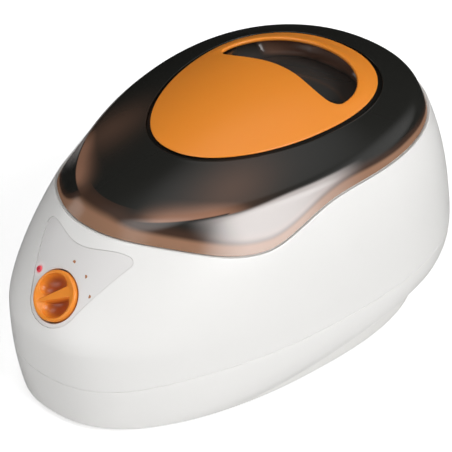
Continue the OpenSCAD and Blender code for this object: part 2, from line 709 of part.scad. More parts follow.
// A curved slab along the tub's surface, between two depths below it
patch_half = 50;
patch_low = -30;
patch_high = 56;
module patch(top, bottom, nx, ny) {
    us = [for (i = [0:nx]) mix(-patch_half, patch_half, i / nx)];
    vs = [for (j = [0:ny]) mix(patch_low, patch_high, j / ny)];
    face = [for (v = vs) for (u = us) [u, v, surface_w(u, v)]];
    row = nx + 1;
    count = len(face);
    rim = concat([for (i = [0:nx - 1]) i], [for (j = [0:ny - 1]) j * row + nx],
        [for (i = [nx:-1:1]) ny * row + i], [for (j = [ny:-1:1]) j * row]);
    polyhedron(
        points = concat([for (p = face) p - [0, 0, top]], [for (p = face) p - [0, 0, bottom]]),
        faces = concat(
            [for (j = [0:ny - 1], i = [0:nx - 1]) let (a = j * row + i, b = a + row)
                each [[a, b, b + 1], [a, b + 1, a + 1]]],
            [for (j = [0:ny - 1], i = [0:nx - 1]) let (a = count + j * row + i, b = a + row)
                each [[a, b + 1, b], [a, a + 1, b + 1]]],
            [for (i = [0:len(rim) - 1]) let (a = rim[i], b = rim[(i + 1) % len(rim)])
                each [[a, b, b + count], [a, b + count, a + count]]]));
}

// Control panel: an inlaid shield with a cup for the knob
panel_sink = 0.4;
flange_over = 2.5;
flange_t = 1.8;
flange_drop = 4.2;
cup_gap = 0.9;
cup_wall = 1.6;
cup_top = -2;
cup_floor_w = -19.5;
cup_floor_t = 2.5;
mark_r = 1.2;
mark_at = 26.7;
mark_angles = [23, 53, 84];
lens_angle = 155;
neck_r = 4.75;
module control_panel() {
    color(white) knob_frame() difference() {
        union() {
            intersection() {
                patch(panel_sink, panel_sink + panel_t, 18, 14);
                translate([0, 0, -panel_cut]) linear_extrude(2 * panel_cut) shield(0);
            }
            intersection() {
                patch(flange_drop, flange_drop + flange_t, 12, 10);
                translate([0, 0, -panel_cut]) linear_extrude(2 * panel_cut) shield(flange_over);
            }
            intersection() {
                patch(panel_sink + panel_t / 2, flange_drop + flange_t / 2, 12, 10);
                translate([0, 0, -panel_cut]) linear_extrude(2 * panel_cut) shield(-cup_wall);
            }
            translate([0, 0, cup_floor_w - cup_floor_t])
                cylinder(r = knob_r + cup_gap + cup_wall, h = cup_top - cup_floor_w + cup_floor_t);
        }
        translate([0, 0, cup_floor_w]) cylinder(r = knob_r + cup_gap, h = panel_cut);
        translate([0, 0, cup_floor_w - 2 * cup_floor_t]) cylinder(r = neck_r + pin_gap, h = 3 * cup_floor_t);
        at_lens() translate([0, 0, -panel_cut]) cylinder(r = lens_r + trim_gap, h = 2 * panel_cut);
        at_marks() translate([0, 0, -panel_cut]) cylinder(r = mark_r + trim_gap, h = 2 * panel_cut);
    }
}
module at_lens() {
    u = lens_at * cos(lens_angle);
    v = lens_at * sin(lens_angle);
    translate([u, v, surface_w(u, v)]) children();
}
module at_marks() {
    for (a = mark_angles) {
        u = mark_at * cos(a);
        v = mark_at * sin(a);
        translate([u, v, surface_w(u, v)]) children();
    }
}
mark_out = 0.1;
module panel_marks() {
    color("saddlebrown") knob_frame() at_marks() translate([0, 0, -panel_t])
        cylinder(r = mark_r, h = panel_t - panel_sink + mark_out);
}

// Knob: a dished disc with a grip bar across it and two scoops beside the bar
knob_rise = 0.8;
knob_lift = 3.6;
knob_round = 1.6;
dish_r = 15.6;
dish_depth = 4.4;
bar_w = 5;
bar_angle = 38;
scoop_r = 9;
scoop_out = 6.4;
scoop_depth = 8.2;
bar_sunk = 1;
hub_depth = 8.5;
hub_wall = 2.2;
knob_skin = 2.4;
module knob() {
    bottom = cup_floor_w + knob_lift;
    dish_sphere = (dish_r * dish_r + dish_depth * dish_depth) / (2 * dish_depth);
    color(orange) knob_frame() difference() {
        translate([0, 0, bottom]) rotate_extrude() {
            h = knob_rise - bottom;
            polygon(concat([[0, 0], [knob_r, 0]],
                [for (a = [0:15:90])
                    [knob_r - knob_round + knob_round * cos(a), h - knob_round + knob_round * sin(a)]],
                [[0, h]]));
        }
        difference() {
            union() {
                translate([0, 0, knob_rise + dish_sphere - dish_depth]) sphere(r = dish_sphere, $fn = 64);
                for (side = [-1, 1]) rotate([0, 0, bar_angle])
                    translate([0, side * scoop_out, knob_rise + scoop_r - scoop_depth]) sphere(r = scoop_r);
            }
            rotate([0, 0, bar_angle]) translate([-knob_r, -bar_w / 2, bottom])
                cube([2 * knob_r, bar_w, knob_rise - bottom - bar_sunk]);
        }
        translate([0, 0, bottom - over]) cylinder(r = spindle_r + pin_gap, h = over + hub_depth);
        translate([0, 0, bottom - over]) difference() {
            cylinder(r = knob_r - knob_skin, h = over + knob_skin);
            translate([0, 0, -over]) cylinder(r = spindle_r + hub_wall, h = 3 * over + knob_skin);
        }
    }
}

// Thermostat behind the panel, with its neck through the cup's floor
nut_h = 3;
nut_flats = 13;
neck_up = 3.2;
thermostat_r = 16;
thermostat_h = 17;
spindle_sunk = 12;
spindle_top_gap = 0.5;
module thermostat_spindle() {
    color(metal) knob_frame() translate([0, 0, cup_floor_w - spindle_sunk])
        cylinder(r = spindle_r, h = spindle_sunk + knob_lift + hub_depth - spindle_top_gap);
}
module thermostat_nut() {
    color(brass) knob_frame() translate([0, 0, cup_floor_w]) difference() {
        hexagon(nut_flats, nut_h);
        translate([0, 0, -over]) cylinder(r = neck_r + pin_gap, h = nut_h + 2 * over);
    }
}
module thermostat() {
    color(metal) knob_frame() translate([0, 0, cup_floor_w - cup_floor_t]) difference() {
        union() {
            cylinder(r = neck_r, h = cup_floor_t + neck_up);
            translate([0, 0, -thermostat_h]) cylinder(r = thermostat_r, h = thermostat_h);
        }
        translate([0, 0, cup_floor_t - spindle_sunk - end_gap])
            cylinder(r = spindle_r + pin_gap, h = end_gap + spindle_sunk + neck_up + over);
    }
}
blade_w = 6.3;
blade_t = 0.8;
blade_l = 9;
blade_x = 8;
module thermostat_terminals() {
    color(brass) knob_frame() for (x = [-blade_x, blade_x])
        translate([x - blade_w / 2, -blade_t / 2, cup_floor_w - cup_floor_t - thermostat_h - blade_l])
        cube([blade_w, blade_t, blade_l]);
}

// Lamp behind a small domed lens
lens_depth = 9;
lens_out = 0.3;
lamp_r = 3.5;
lamp_h = 15;
module indicator_lens() {
    color("red") knob_frame() at_lens() translate([0, 0, -lens_depth]) {
        cylinder(r = lens_r, h = lens_depth + lens_out);
        translate([0, 0, lens_depth + lens_out]) difference() {
            translate([0, 0, -lens_r]) sphere(r = lens_r * sqrt(2));
            translate([0, 0, -3 * lens_r]) cylinder(r = 2 * lens_r, h = 3 * lens_r);
        }
    }
}
module indicator_lamp() {
    color(black) knob_frame() at_lens() translate([0, 0, -lens_depth - lamp_h])
        cylinder(r = lamp_r, h = lamp_h);
}

// Heater under the tank floor: mat, clamp plate, bulb and cut-out in a slot
mat_in = 20;
mat_t = 1.6;
clamp_t = 1.2;
slot_w = 16;
slot_l = 74;
stud_r = 2;
stud_x = 36;
stud_nose = 57;
stud_tail = 63;
stud_ys = [tank_mid - stud_nose, tank_mid + stud_tail];
stud_drop = 18;
module at_studs() {
    for (x = [-stud_x, stud_x], y = stud_ys) translate([x, y, tank_floor_z]) children();
}
module stud_holes(t) {
    for (x = [-stud_x, stud_x], y = stud_ys) translate([x, y, -over])
        cylinder(r = stud_r + screw_gap, h = t + 2 * over);
}
module heater_sheet(t) {
    difference() {
        linear_extrude(t) outline(-mat_in, tank_y0, tank_y1, tank_x, tank_skew, tank_square);
        translate([-slot_w / 2, tank_mid - slot_l / 2, -over]) cube([slot_w, slot_l, t + 2 * over]);
        stud_holes(t);
    }
}
module heater_mat() { color("orangered") translate([0, 0, tank_floor_z - mat_t]) heater_sheet(mat_t); }
module heater_clamp() {
    color(metal) translate([0, 0, tank_floor_z - mat_t - clamp_t]) heater_sheet(clamp_t);
}
module heater_studs() {
    color(metal) at_studs() translate([0, 0, -stud_drop]) cylinder(r = stud_r, h = stud_drop);
}
stud_nut_h = 3.2;
stud_nut_flats = 7;
module ring_nut(flats, h) {
    difference() {
        hexagon(flats, h);
        translate([0, 0, -over]) cylinder(r = stud_r + pin_gap, h = h + 2 * over);
    }
}
nut_z = -mat_t - clamp_t - stud_nut_h;
shield_t = 0.8;
shield_gap = 6;
shield_in = 26;
spacer_wall = 1.2;
module heater_nuts() {
    color(metal) at_studs() translate([0, 0, nut_z]) ring_nut(stud_nut_flats, stud_nut_h);
}
module shield_spacers() {
    color(metal) at_studs() translate([0, 0, nut_z - shield_gap]) difference() {
        cylinder(r = stud_r + spacer_wall, h = shield_gap);
        translate([0, 0, -over]) cylinder(r = stud_r + pin_gap, h = shield_gap + 2 * over);
    }
}
module heat_shield() {
    color(metal) translate([0, 0, tank_floor_z + nut_z - shield_gap - shield_t]) difference() {
        linear_extrude(shield_t) outline(-shield_in, tank_y0, tank_y1, tank_x, tank_skew, tank_square);
        stud_holes(shield_t);
    }
}
module shield_nuts() {
    color(metal) at_studs() translate([0, 0, nut_z - shield_gap - shield_t - stud_nut_h])
        ring_nut(stud_nut_flats, stud_nut_h);
}

// Temperature bulb and thermal cut-out, each held in the slot by a saddle
bulb_r = 3;
bulb_l = 44;
bulb_nose = 14;
bulb_y = tank_mid - bulb_nose;
fuse_r = 2.2;
fuse_l = 13;
fuse_tail = 26;
fuse_y = tank_mid + fuse_tail;
saddle_w = 26;
saddle_l = 10;
saddle_t = 2;
under_plate = tank_floor_z - mat_t - clamp_t;
module lying(r, l) { rotate([-90, 0, 0]) translate([0, 0, -l / 2]) cylinder(r = r, h = l); }
module saddle(r, y) {
    axis_z = tank_floor_z - fit_gap - r;
    low = axis_z - r - saddle_t;
    difference() {
        translate([-saddle_w / 2, y - saddle_l / 2, low]) cube([saddle_w, saddle_l, under_plate - low]);
        translate([0, y, axis_z]) lying(r + pin_gap, 2 * saddle_l);
        translate([-r - pin_gap, y - saddle_l, axis_z]) cube([2 * (r + pin_gap), 2 * saddle_l, 3 * r]);
    }
}
module sensor_bulb() {
    color("peru") translate([0, bulb_y, tank_floor_z - fit_gap - bulb_r]) lying(bulb_r, bulb_l);
}
module bulb_clip() { color(metal) saddle(bulb_r, bulb_y); }
module thermal_fuse() {
    color(metal) translate([0, fuse_y, tank_floor_z - fit_gap - fuse_r]) lying(fuse_r, fuse_l);
}
module fuse_clip() { color(metal) saddle(fuse_r, fuse_y); }

// Insulation round the tank wall, and the slotted grille on the tank floor
jacket_drop = 4;
jacket_top = tank_top_z - tank_t - jacket_drop;
jacket_low = tank_floor_z + tank_corner;
module insulation_jacket() {
    color("khaki") translate([0, 0, jacket_low]) linear_extrude(jacket_top - jacket_low) difference() {
        outline(insulation_t, tank_y0, tank_y1, tank_x, tank_skew, tank_square);
        outline(fit_gap, tank_y0, tank_y1, tank_x, tank_skew, tank_square);
    }
}
grille_t = 3;
grille_in = 5;
grille_rim = 8;
grille_spine = 6;
grille_foot_r = 3;
grille_leg_x = 36;
bar_pitch = 15;
slot_gap = 8;
// How much of the tank's corner stands in at the grille, and how its slots
// shorten towards nose and tail
corner_share = 0.35;
slot_fade = 2.2;
leg_rows = [-3.5, 4.5];
module wax_grille() {
    bottom = tank_floor_z + grille_h;
    edge = grille_in + tank_draft + tank_t + tank_corner * corner_share;
    half = (tank_y1 - tank_y0) / 2;
    rows = floor(half / bar_pitch);
    color(white) {
        difference() {
            translate([0, 0, bottom]) linear_extrude(grille_t)
                outline(-edge, tank_y0, tank_y1, tank_x, tank_skew, tank_square);
            for (k = [-rows:rows]) {
                reach = tank_x * (1 - pow(abs(k * bar_pitch / half), slot_fade)) - edge - grille_rim;
                if (reach > slot_gap) for (side = [-1, 1])
                    translate([side * (reach + grille_spine) / 2 - reach / 2,
                               tank_mid + k * bar_pitch - slot_gap / 2, bottom - over])
                    cube([reach, slot_gap, grille_t + 2 * over]);
            }
        }
        for (x = [-grille_leg_x, grille_leg_x], k = leg_rows)
            translate([x, tank_mid + k * bar_pitch, tank_floor_z + tank_t])
            cylinder(r = grille_foot_r, h = grille_h - tank_t);
    }
}

// Power inlet in the tail
inlet_depth = 24;
inlet_flange_t = 1.6;
inlet_wall = 2;
socket_depth = 17;
module inlet_frame() {
    translate([0, tail_y(inlet_z + inlet_h / 2), inlet_z]) rotate([90, 0, 180]) children();
}
module power_inlet() {
    color(black) inlet_frame() difference() {
        translate([-inlet_w / 2, -inlet_h / 2, -inlet_depth])
            cube([inlet_w, inlet_h, inlet_depth + inlet_flange_t]);
        translate([-inlet_w / 2 + inlet_wall, -inlet_h / 2 + inlet_wall, inlet_flange_t - socket_depth])
            cube([inlet_w - 2 * inlet_wall, inlet_h - 2 * inlet_wall, socket_depth + over]);
        for (p = pin_at)
            translate([p[0] - pin_w / 2 - pin_gap, p[1] - pin_h / 2 - pin_gap, -2 * inlet_depth])
            cube([pin_w + 2 * pin_gap, pin_h + 2 * pin_gap, 2 * inlet_depth]);
    }
}
pin_w = 2;
pin_h = 4;
pin_spread = 7;
pin_drop = 2;
pin_at = [[-pin_spread, -pin_drop], [pin_spread, -pin_drop], [0, pin_drop]];
pin_tail = 5;
pin_reach = 12;
module inlet_pins() {
    color(brass) inlet_frame() for (p = pin_at)
        translate([p[0] - pin_w / 2, p[1] - pin_h / 2, -inlet_depth - pin_tail])
        cube([pin_w, pin_h, pin_tail + inlet_depth - socket_depth + pin_reach]);
}

// Terminal block on the base pan, a set distance in from the nose
block_x = 24;
block_in = 36.75;
block_w = 50;
block_d = 14;
block_h = 12;
ways = 5;
way_pitch = block_w / ways;
way_r = 2.4;
way_lip = 0.4;
way_screw_l = 2.5;
way_screw_sunk = 0.5;
way_z = pan_top_z + block_h / 2;
block_y = nose_y(way_z) + block_in;
function way_x(i) = block_x + (i - (ways - 1) / 2) * way_pitch;
module terminal_block() {
    color("ivory") difference() {
        translate([block_x - block_w / 2, block_y - block_d / 2, pan_top_z])
            cube([block_w, block_d, block_h]);
        for (i = [0:ways - 1]) translate([way_x(i), block_y, way_z]) {
            lying(way_r, 2 * block_d);
            cylinder(r = way_r - way_lip, h = block_h);
        }
    }
}
module terminal_screws() {
    color(metal) for (i = [0:ways - 1])
        translate([way_x(i), block_y, pan_top_z + block_h - way_screw_sunk - way_screw_l])
        cylinder(r = way_r - way_lip - pin_gap, h = way_screw_l);
}

// Wires: three mains wires, two to the heater, two each to lamp and thermostat.
// Each ends in a way of the block, from its tail side or from its nose side.
// Their points are places chosen by hand, given from the pieces they lie beside.
mains_r = 1.1;
thin_r = 0.75;
wire_in = 4;
wire_gap = 0.5;
// A point a set distance behind the tub's nose at that height
function behind_nose(x, z, back) = [x, nose_y(z) + back, z];
// Last steps into a way: how far before the block, and how far above the way
tail_lead = [7, 0.7];
nose_leads = [[12, 7], [6, 0.5]];
function tail_end(i) = [[way_x(i), block_y + block_d / 2 + tail_lead[0], way_z + tail_lead[1]],
                        [way_x(i), block_y + block_d / 2 - wire_in, way_z]];
function nose_end(i) = concat(
    [for (p = nose_leads) [way_x(i), block_y - block_d / 2 - p[0], way_z + p[1]]],
    [[way_x(i), block_y - block_d / 2 + wire_in, way_z]]);
pin_end_y = tail_y(inlet_z + inlet_h / 2) - inlet_depth - pin_tail - wire_gap;
// Run of the mains wires: first down from the inlet as sideways place, distance
// before the pins and height, then along the pan as sideways place and share of
// the way from the block to the pins
mains_fall = [[6, 0.5, 55], [12, 6, 41], [20, 15, 27], [30, 20, 13]];
mains_run = [[42, 0.876], [58, 0.717], [60, 0.484], [52, 0.285], [40, 0.136]];
mains_z = 8;
mains_pitch = 3;
pin_leads = [[0, 0, 0], [0, 2.5, 0.4], [1, 3.6, 6]];
pin_order = [0, 2, 1];
module mains_wires() {
    color("dimgray") for (i = [0:2]) {
        at = pin_at[pin_order[i]];
        pin = [at[0], pin_end_y, inlet_z + at[1]];
        beside = mains_pitch * (i - 1);
        wire(concat(
            [for (p = pin_leads) pin + [p[0], -p[1], -p[2]]],
            [for (p = mains_fall) [p[0] + beside, pin_end_y - p[1], p[2]]],
            [for (p = mains_run) [p[0] + beside, mix(block_y, pin_end_y, p[1]), mains_z]],
            tail_end(2 + i)), mains_r);
    }
}
heater_pitch = 12;
heater_drops = [0.9, 2];
heater_out = 5;
heater_mid_out = 20;
heater_mid_z = 20;
module heater_wires() {
    y = tank_y0 + mat_in - wire_gap;
    color("peru") for (i = [0, 1]) {
        x = heater_pitch * (i - 0.5);
        wire(concat([[x, y, tank_floor_z - heater_drops[0]],
            [x, y - heater_out, tank_floor_z - heater_drops[1]],
            [mix(x, way_x(i), 0.5), y - heater_mid_out, heater_mid_z]], tail_end(i)), thin_r);
    }
}
lamp_pitch = 3;
lamp_fall = [0, 1, -11];
straight_out = 4;
module control_wires() {
    lamp_u = lens_at * cos(lens_angle);
    lamp_v = lens_at * sin(lens_angle);
    lamp = from_knob(lamp_u, lamp_v, surface_w(lamp_u, lamp_v) - lens_depth - lamp_h - wire_gap);
    blade_end = cup_floor_w - cup_floor_t - thermostat_h - blade_l - wire_gap;
    color("firebrick") {
        for (i = [0, 1]) {
            start = lamp + [lamp_pitch * (i - 0.5), 0, 0];
            wire(concat([start, start - straight_out * knob_out, start + lamp_fall,
                behind_nose(start[0] + 1, 55, 30.2), behind_nose(mix(start[0], way_x(i), 0.55), 32, 20.5)],
                nose_end(i)), thin_r);
        }
        for (i = [0, 1]) {
            blade = from_knob((2 * i - 1) * blade_x, 0, blade_end);
            wire(concat([blade, blade - straight_out * knob_out,
                behind_nose(mix(blade[0], way_x(i + 2), 0.6), 48, 51.5), behind_nose(way_x(i + 2), 28, 38)],
                nose_end(i + 2)), thin_r);
        }
    }
}

// Thin tube from the thermostat down to the bulb under the tank
capillary_r = 0.75;
capillary_at = 0.7;
capillary_u = -4;
capillary_low = 1.5;
module capillary_tube() {
    start = from_knob(capillary_u, -thermostat_r - wire_gap,
                      cup_floor_w - cup_floor_t - capillary_at * thermostat_h);
    finish = [0, bulb_y - bulb_l / 2 - wire_gap, tank_floor_z - fit_gap - bulb_r - capillary_low];
    color("peru") wire([start, start + [0, -1.5, -6],
        behind_nose(-6, 45, 30.2), behind_nose(-8, 27, 37.8), behind_nose(-8, 19, 54.4),
        [-5, tank_y0 + 7.5, 21], [-2, tank_y0 + 35.5, 25], finish + [0, -26, -1], finish], capillary_r);
}

upper_shell();
lower_shell();
base_pan();
feet();
base_screws();
rim_collar();
lid();
handle_plate();
handle_screws();
control_panel();
panel_marks();
knob();
thermostat_spindle();
thermostat_nut();
thermostat();
thermostat_terminals();
indicator_lens();
indicator_lamp();
sensor_bulb();
bulb_clip();
tank();
tank_gasket();
tank_screws();
wax_grille();
insulation_jacket();
heater_mat();
heater_clamp();
heater_studs();
heater_nuts();
shield_spacers();
heat_shield();
shield_nuts();
thermal_fuse();
fuse_clip();
terminal_block();
terminal_screws();
power_inlet();
inlet_pins();
capillary_tube();
mains_wires();
heater_wires();
control_wires();
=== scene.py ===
import bpy
import math
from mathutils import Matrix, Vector


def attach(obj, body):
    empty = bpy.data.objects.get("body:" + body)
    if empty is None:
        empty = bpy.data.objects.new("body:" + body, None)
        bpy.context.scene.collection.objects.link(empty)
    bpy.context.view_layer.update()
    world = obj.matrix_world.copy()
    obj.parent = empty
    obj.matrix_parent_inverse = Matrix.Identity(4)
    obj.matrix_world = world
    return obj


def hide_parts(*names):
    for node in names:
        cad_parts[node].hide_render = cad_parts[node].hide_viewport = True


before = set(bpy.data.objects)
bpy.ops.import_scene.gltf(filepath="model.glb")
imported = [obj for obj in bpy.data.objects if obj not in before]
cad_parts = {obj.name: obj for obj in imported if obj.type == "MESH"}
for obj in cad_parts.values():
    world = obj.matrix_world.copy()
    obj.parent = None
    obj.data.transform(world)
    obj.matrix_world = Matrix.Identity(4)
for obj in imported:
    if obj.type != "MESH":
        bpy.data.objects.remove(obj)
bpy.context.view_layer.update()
mm = 0.001

# the tub's outline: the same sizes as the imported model, in millimetres
tub = {
    "noseY": -190, "tailY": 190, "halfWidth": 117.5, "wall": 3.0,
    "noseGirth": 70, "noseFootIn": 8, "noseRimIn": 95, "nosePows": (1.6, 1.5),
    "tailGirth": 50, "tailFootIn": 50, "tailRimIn": 36, "tailPows": (3.2, 1.5),
    "sideGirth": 52, "sideFootIn": 14.4, "sideRimIn": 34, "sidePows": (3.0, 3.2),
    "footRef": 6, "rimRef": 175, "skew": (0.143, 0.185), "square": (2.36, 2.1),
    "footNose": 4.6, "footRise": 22.5, "footFrom": -0.35, "footTo": 0.35, "ledge": 3.0,
    "partingSide": 47, "partingDrop": 7, "partingRun": 0.25, "partingGap": 0.16,
    "seamNose": 139.8, "seamTail": 145, "lobeDrop": 18.2, "lobeAt": -0.441, "lobeRuns": (0.378, 0.222),
}
lidSize = {
    "wall": 2.6, "step": 1.8, "creaseNose": 147, "creaseTail": 161, "dome": 20.5, "domeY": 33,
    "wellDepth": 16, "wellHalf": 61.8, "wellRun": 38.7, "wellY": 84, "wellEdge": 0.72, "wellPower": 3,
    "seamGap": 0.3, "underRim": 1.08, "underRun": 0.1,
}
plateSize = {
    "midY": 33.2, "half": 66.8, "halfLength": 93.2, "skew": 0.182, "square": 2.14, "gap": 0.4, "sink": 3.0,
    "crown": 4.0, "side": 3.2, "thick": 3.2, "outerRound": 0.8, "innerRound": 1.6, "openHalf": 56.6,
    "openRear": 48.4, "openY": 59.5, "lobeWidth": 10, "lobeRun": 7.9, "tongue": 6.6, "gripHeight": 0.8,
    "gripAt": 1.07, "gripRun": 0.1, "gripStart": -15, "gripRamp": 20, "undercut": 4.0,
}
panelSize = {
    "tilt": 37, "knobZ": 100.7, "footRadius": 22, "half": 36, "top": 41.5, "dip": 7.5, "corner": 4.5,
    "side": -15, "turn": 30, "proud": -0.38, "edgeRound": 0.5, "thick": 3.0, "gap": 0.12,
    "cupRadius": 18.8, "cupFloor": -19.5, "cupRound": 1.0, "cupWall": 1.6, "cupUnder": 2.5, "lipRound": 0.6,
    "neck": 5.0, "underOut": 2, "underSag": 0.4, "underDrop": 1.0, "lampOut": 25.2, "lampAngle": 155,
}
knobSize = {
    "radius": 17.9, "rise": 0.8, "bottom": -15.9, "round": 1.6, "dishRadius": 15.6, "dishDepth": 4.4,
    "barWidth": 4.4, "barTaper": 0.12, "barAngle": 38, "barSunk": 1.0, "barFlank": (1.2, 0.9), "barReach": 3,
    "scoopRadius": 8.6, "scoopLong": 1.35, "scoopOut": 7, "scoopDepth": 8.2, "blend": 0.9, "rimBlend": 0.7,
    "underRadius": 15.5, "boreRadius": 3.05, "boreRise": 0.4, "shadeFrom": 2.2, "shadeRun": 5.5,
}
tankSize = {
    "top": 117, "floor": 32, "skew": 0.16, "square": 2.35, "draft": 3, "corner": 14, "sheet": 1.2,
    "flange": 12, "lip": 0.4, "lipDrop": 1.2, "noseGap": 46, "tailGap": 36, "sideGap": 28,
}


def mix(a, b, t):
    return a + (b - a) * t


def signedPow(v, p):
    return math.copysign(abs(v) ** p, v)


def smoothStep(t):
    t = max(0.0, min(1.0, t))
    return t * t * (3 - 2 * t)


def rise(v, start, run):
    return smoothStep((v - start) / run)


def quarter(steps):
    # sine and cosine at each step of a quarter turn, for rounded edges
    turns = [math.pi / 2 * i / steps for i in range(steps + 1)]
    return [(math.sin(b), math.cos(b)) for b in turns]


def arc(centre, radii, start, stop, steps):
    # points along an elliptic arc, from one angle to another in degrees
    turns = [math.radians(mix(start, stop, i / steps)) for i in range(steps + 1)]
    return [(centre[0] + radii[0] * math.cos(b), centre[1] + radii[1] * math.sin(b)) for b in turns]


def egg(a, front, rear, half, skew, square):
    s = signedPow(math.sin(a), 2 / square)
    c = signedPow(math.cos(a), 2 / square)
    return half * c * (1 + skew * s), mix(front, rear, (1 + s) / 2)


def eggNorm(x, y, front, rear, half, skew, square):
    s = (2 * y - front - rear) / (rear - front)
    w = half * (1 + skew * max(-1, min(1, s)))
    return (abs(x / w) ** square + abs(s) ** square) ** (1 / square)


def barrel(z, girth, low, high, pows):
    if z < girth:
        return low * ((girth - z) / (girth - tub["footRef"])) ** pows[0]
    return high * ((z - girth) / (tub["rimRef"] - girth)) ** pows[1]


def noseY(z):
    return tub["noseY"] + barrel(z, tub["noseGirth"], tub["noseFootIn"], tub["noseRimIn"], tub["nosePows"])


def tailY(z):
    return tub["tailY"] - barrel(z, tub["tailGirth"], tub["tailFootIn"], tub["tailRimIn"], tub["tailPows"])


def sideX(z):
    inward = barrel(z, tub["sideGirth"], tub["sideFootIn"], tub["sideRimIn"], tub["sidePows"])
    return tub["halfWidth"] - inward


def shellForm(z):
    level = (z - tub["footRef"]) / (tub["rimRef"] - tub["footRef"])
    return mix(*tub["skew"], level), mix(*tub["square"], level)


def shellPoint(a, z, inset=0.0):
    skew, square = shellForm(z)
    x, y = egg(a, noseY(z) + inset, tailY(z) - inset, sideX(z) - inset, skew, square)
    return x, y, z


def shellNorm(x, y, z):
    skew, square = shellForm(z)
    return eggNorm(x, y, noseY(z), tailY(z), sideX(z), skew, square)


def along(a):
    return signedPow(math.sin(a), 2 / tub["square"][1])


def footZ(a):
    climb = (along(a) - tub["footFrom"]) / (tub["footTo"] - tub["footFrom"])
    return tub["footNose"] + tub["footRise"] * smoothStep(climb)


def partingZ(a):
    return tub["partingSide"] - tub["partingDrop"] * math.exp(-((along(a) + 1) / tub["partingRun"]) ** 2)


def seamZ(a):
    s = along(a)
    d = s - tub["lobeAt"]
    run = tub["lobeRuns"][0] if d < 0 else tub["lobeRuns"][1]
    return mix(tub["seamNose"], tub["seamTail"], (1 + s) / 2) - tub["lobeDrop"] * math.exp(-(d / run) ** 2)


creaseFront = noseY(lidSize["creaseNose"]) + lidSize["step"]
creaseRear = tailY(lidSize["creaseTail"]) - lidSize["step"]
creaseHalf = sideX((lidSize["creaseNose"] + lidSize["creaseTail"]) / 2) - lidSize["step"]
rimSkew = tub["skew"][1]
rimSquare = tub["square"][1]


def creasePlane(y):
    return mix(lidSize["creaseNose"], lidSize["creaseTail"], (y - creaseFront) / (creaseRear - creaseFront))


def creasePoint(a, inset=0.0):
    return egg(a, creaseFront + inset, creaseRear - inset, creaseHalf - inset, rimSkew, rimSquare)


def lidRho(x, y):
    # the place's share of the way from the dome's top out to the crease, found by repeated scaling
    top = lidSize["domeY"]
    r = 0.6
    for _ in range(10):
        r *= eggNorm(x / r, top + (y - top) / r, creaseFront, creaseRear, creaseHalf, rimSkew, rimSquare)
        r = max(r, 1e-6)
    return r


def domeZ(rho, y):
    return creasePlane(y) + lidSize["dome"] * (1 - rho * rho)


def plateNorm(x, y):
    p = plateSize
    return eggNorm(x, y - p["midY"], -p["halfLength"], p["halfLength"], p["half"], p["skew"], p["square"])


def wellDrop(x, y):
    s = lidSize
    power = s["wellPower"]
    r = (abs(x / s["wellHalf"]) ** power + abs((y - s["wellY"]) / s["wellRun"]) ** power) ** (1 / power)
    r = max(r, 2 * plateNorm(x, y) - 1)  # the well ends before the plate's edge
    return s["wellDepth"] * (1 - smoothStep((r - s["wellEdge"]) / (1 - s["wellEdge"])))


def underStep(x, y):
    # how far the lid's inside steps down for the well and round the recess
    past = rise(plateNorm(x, y), lidSize["underRim"], lidSize["underRun"])
    return max(wellDrop(x, y), plateSize["sink"] * (1 - past))


def capZ(x, y):
    # the dome, with the extra bulge that it has under the handle plate
    e = plateNorm(x, y)
    return domeZ(lidRho(x, y), y) + plateSize["crown"] * max(0.0, 1 - e * e)


# small tools for making pieces by hand
def deselectAll():
    if bpy.context.object and bpy.context.object.mode != "OBJECT":
        bpy.ops.object.mode_set(mode="OBJECT")
    bpy.ops.object.select_all(action="DESELECT")


def pick(piece):
    deselectAll()
    piece.select_set(True)
    bpy.context.view_layer.objects.active = piece


def cleanUp(piece):
    pick(piece)
    bpy.ops.object.mode_set(mode="EDIT")
    bpy.ops.mesh.select_all(action="SELECT")
    bpy.ops.mesh.remove_doubles(threshold=2e-6)
    bpy.ops.mesh.dissolve_degenerate(threshold=1e-7)
    bpy.ops.mesh.normals_make_consistent(inside=False)
    bpy.ops.object.mode_set(mode="OBJECT")


def finishModifiers(piece):
    pick(piece)
    for modifier in list(piece.modifiers):
        bpy.ops.object.modifier_apply(modifier=modifier.name)


def smoothShade(piece, angle=35):
    pick(piece)
    bpy.ops.object.shade_smooth_by_angle(angle=math.radians(angle))


def wrapSheet(name, across, down, place):
    # a flat grid is bent round the form: u runs across it and v down it, both from 0 to 1
    deselectAll()
    bpy.ops.mesh.primitive_grid_add(x_subdivisions=across, y_subdivisions=down, size=1)
    piece = bpy.context.object
    piece.name = name
    for vertex in piece.data.vertices:
        u = min(1.0, max(0.0, vertex.co.x + 0.5))
        v = min(1.0, max(0.0, vertex.co.y + 0.5))
        vertex.co = Vector(place(u, v)) * mm
    cleanUp(piece)
    return piece


def thicken(piece, wall, edgeRound):
    pick(piece)
    solid = piece.modifiers.new("wall", "SOLIDIFY")
    solid.thickness = wall * mm
    solid.offset = -1
    solid.use_even_offset = True
    bevel = piece.modifiers.new("edges", "BEVEL")
    bevel.width = edgeRound * mm
    bevel.segments = 3
    bevel.limit_method = "ANGLE"
    bevel.angle_limit = math.radians(50)
    finishModifiers(piece)


def cutWith(piece, cutter):
    pick(piece)
    cut = piece.modifiers.new("cut", "BOOLEAN")
    cut.operation = "DIFFERENCE"
    cut.solver = "EXACT"
    cut.object = cutter
    finishModifiers(piece)
    bpy.data.objects.remove(cutter, do_unlink=True)


def angleOf(u):
    return 2 * math.pi * u


def wrapRows(name, around, rowsOf, closed=True):
    # the rows of a cross-section go round the form: a closed one ends where it starts, and an open one runs
    # from one middle of the piece to the other
    total = len(rowsOf(0.0))
    count = total if closed else total - 1
    kept = {}

    def place(u, v):
        if u not in kept:
            kept[u] = rowsOf(angleOf(u))
        return kept[u][int(round(v * count)) % total]
    return wrapSheet(name, around, count, place)


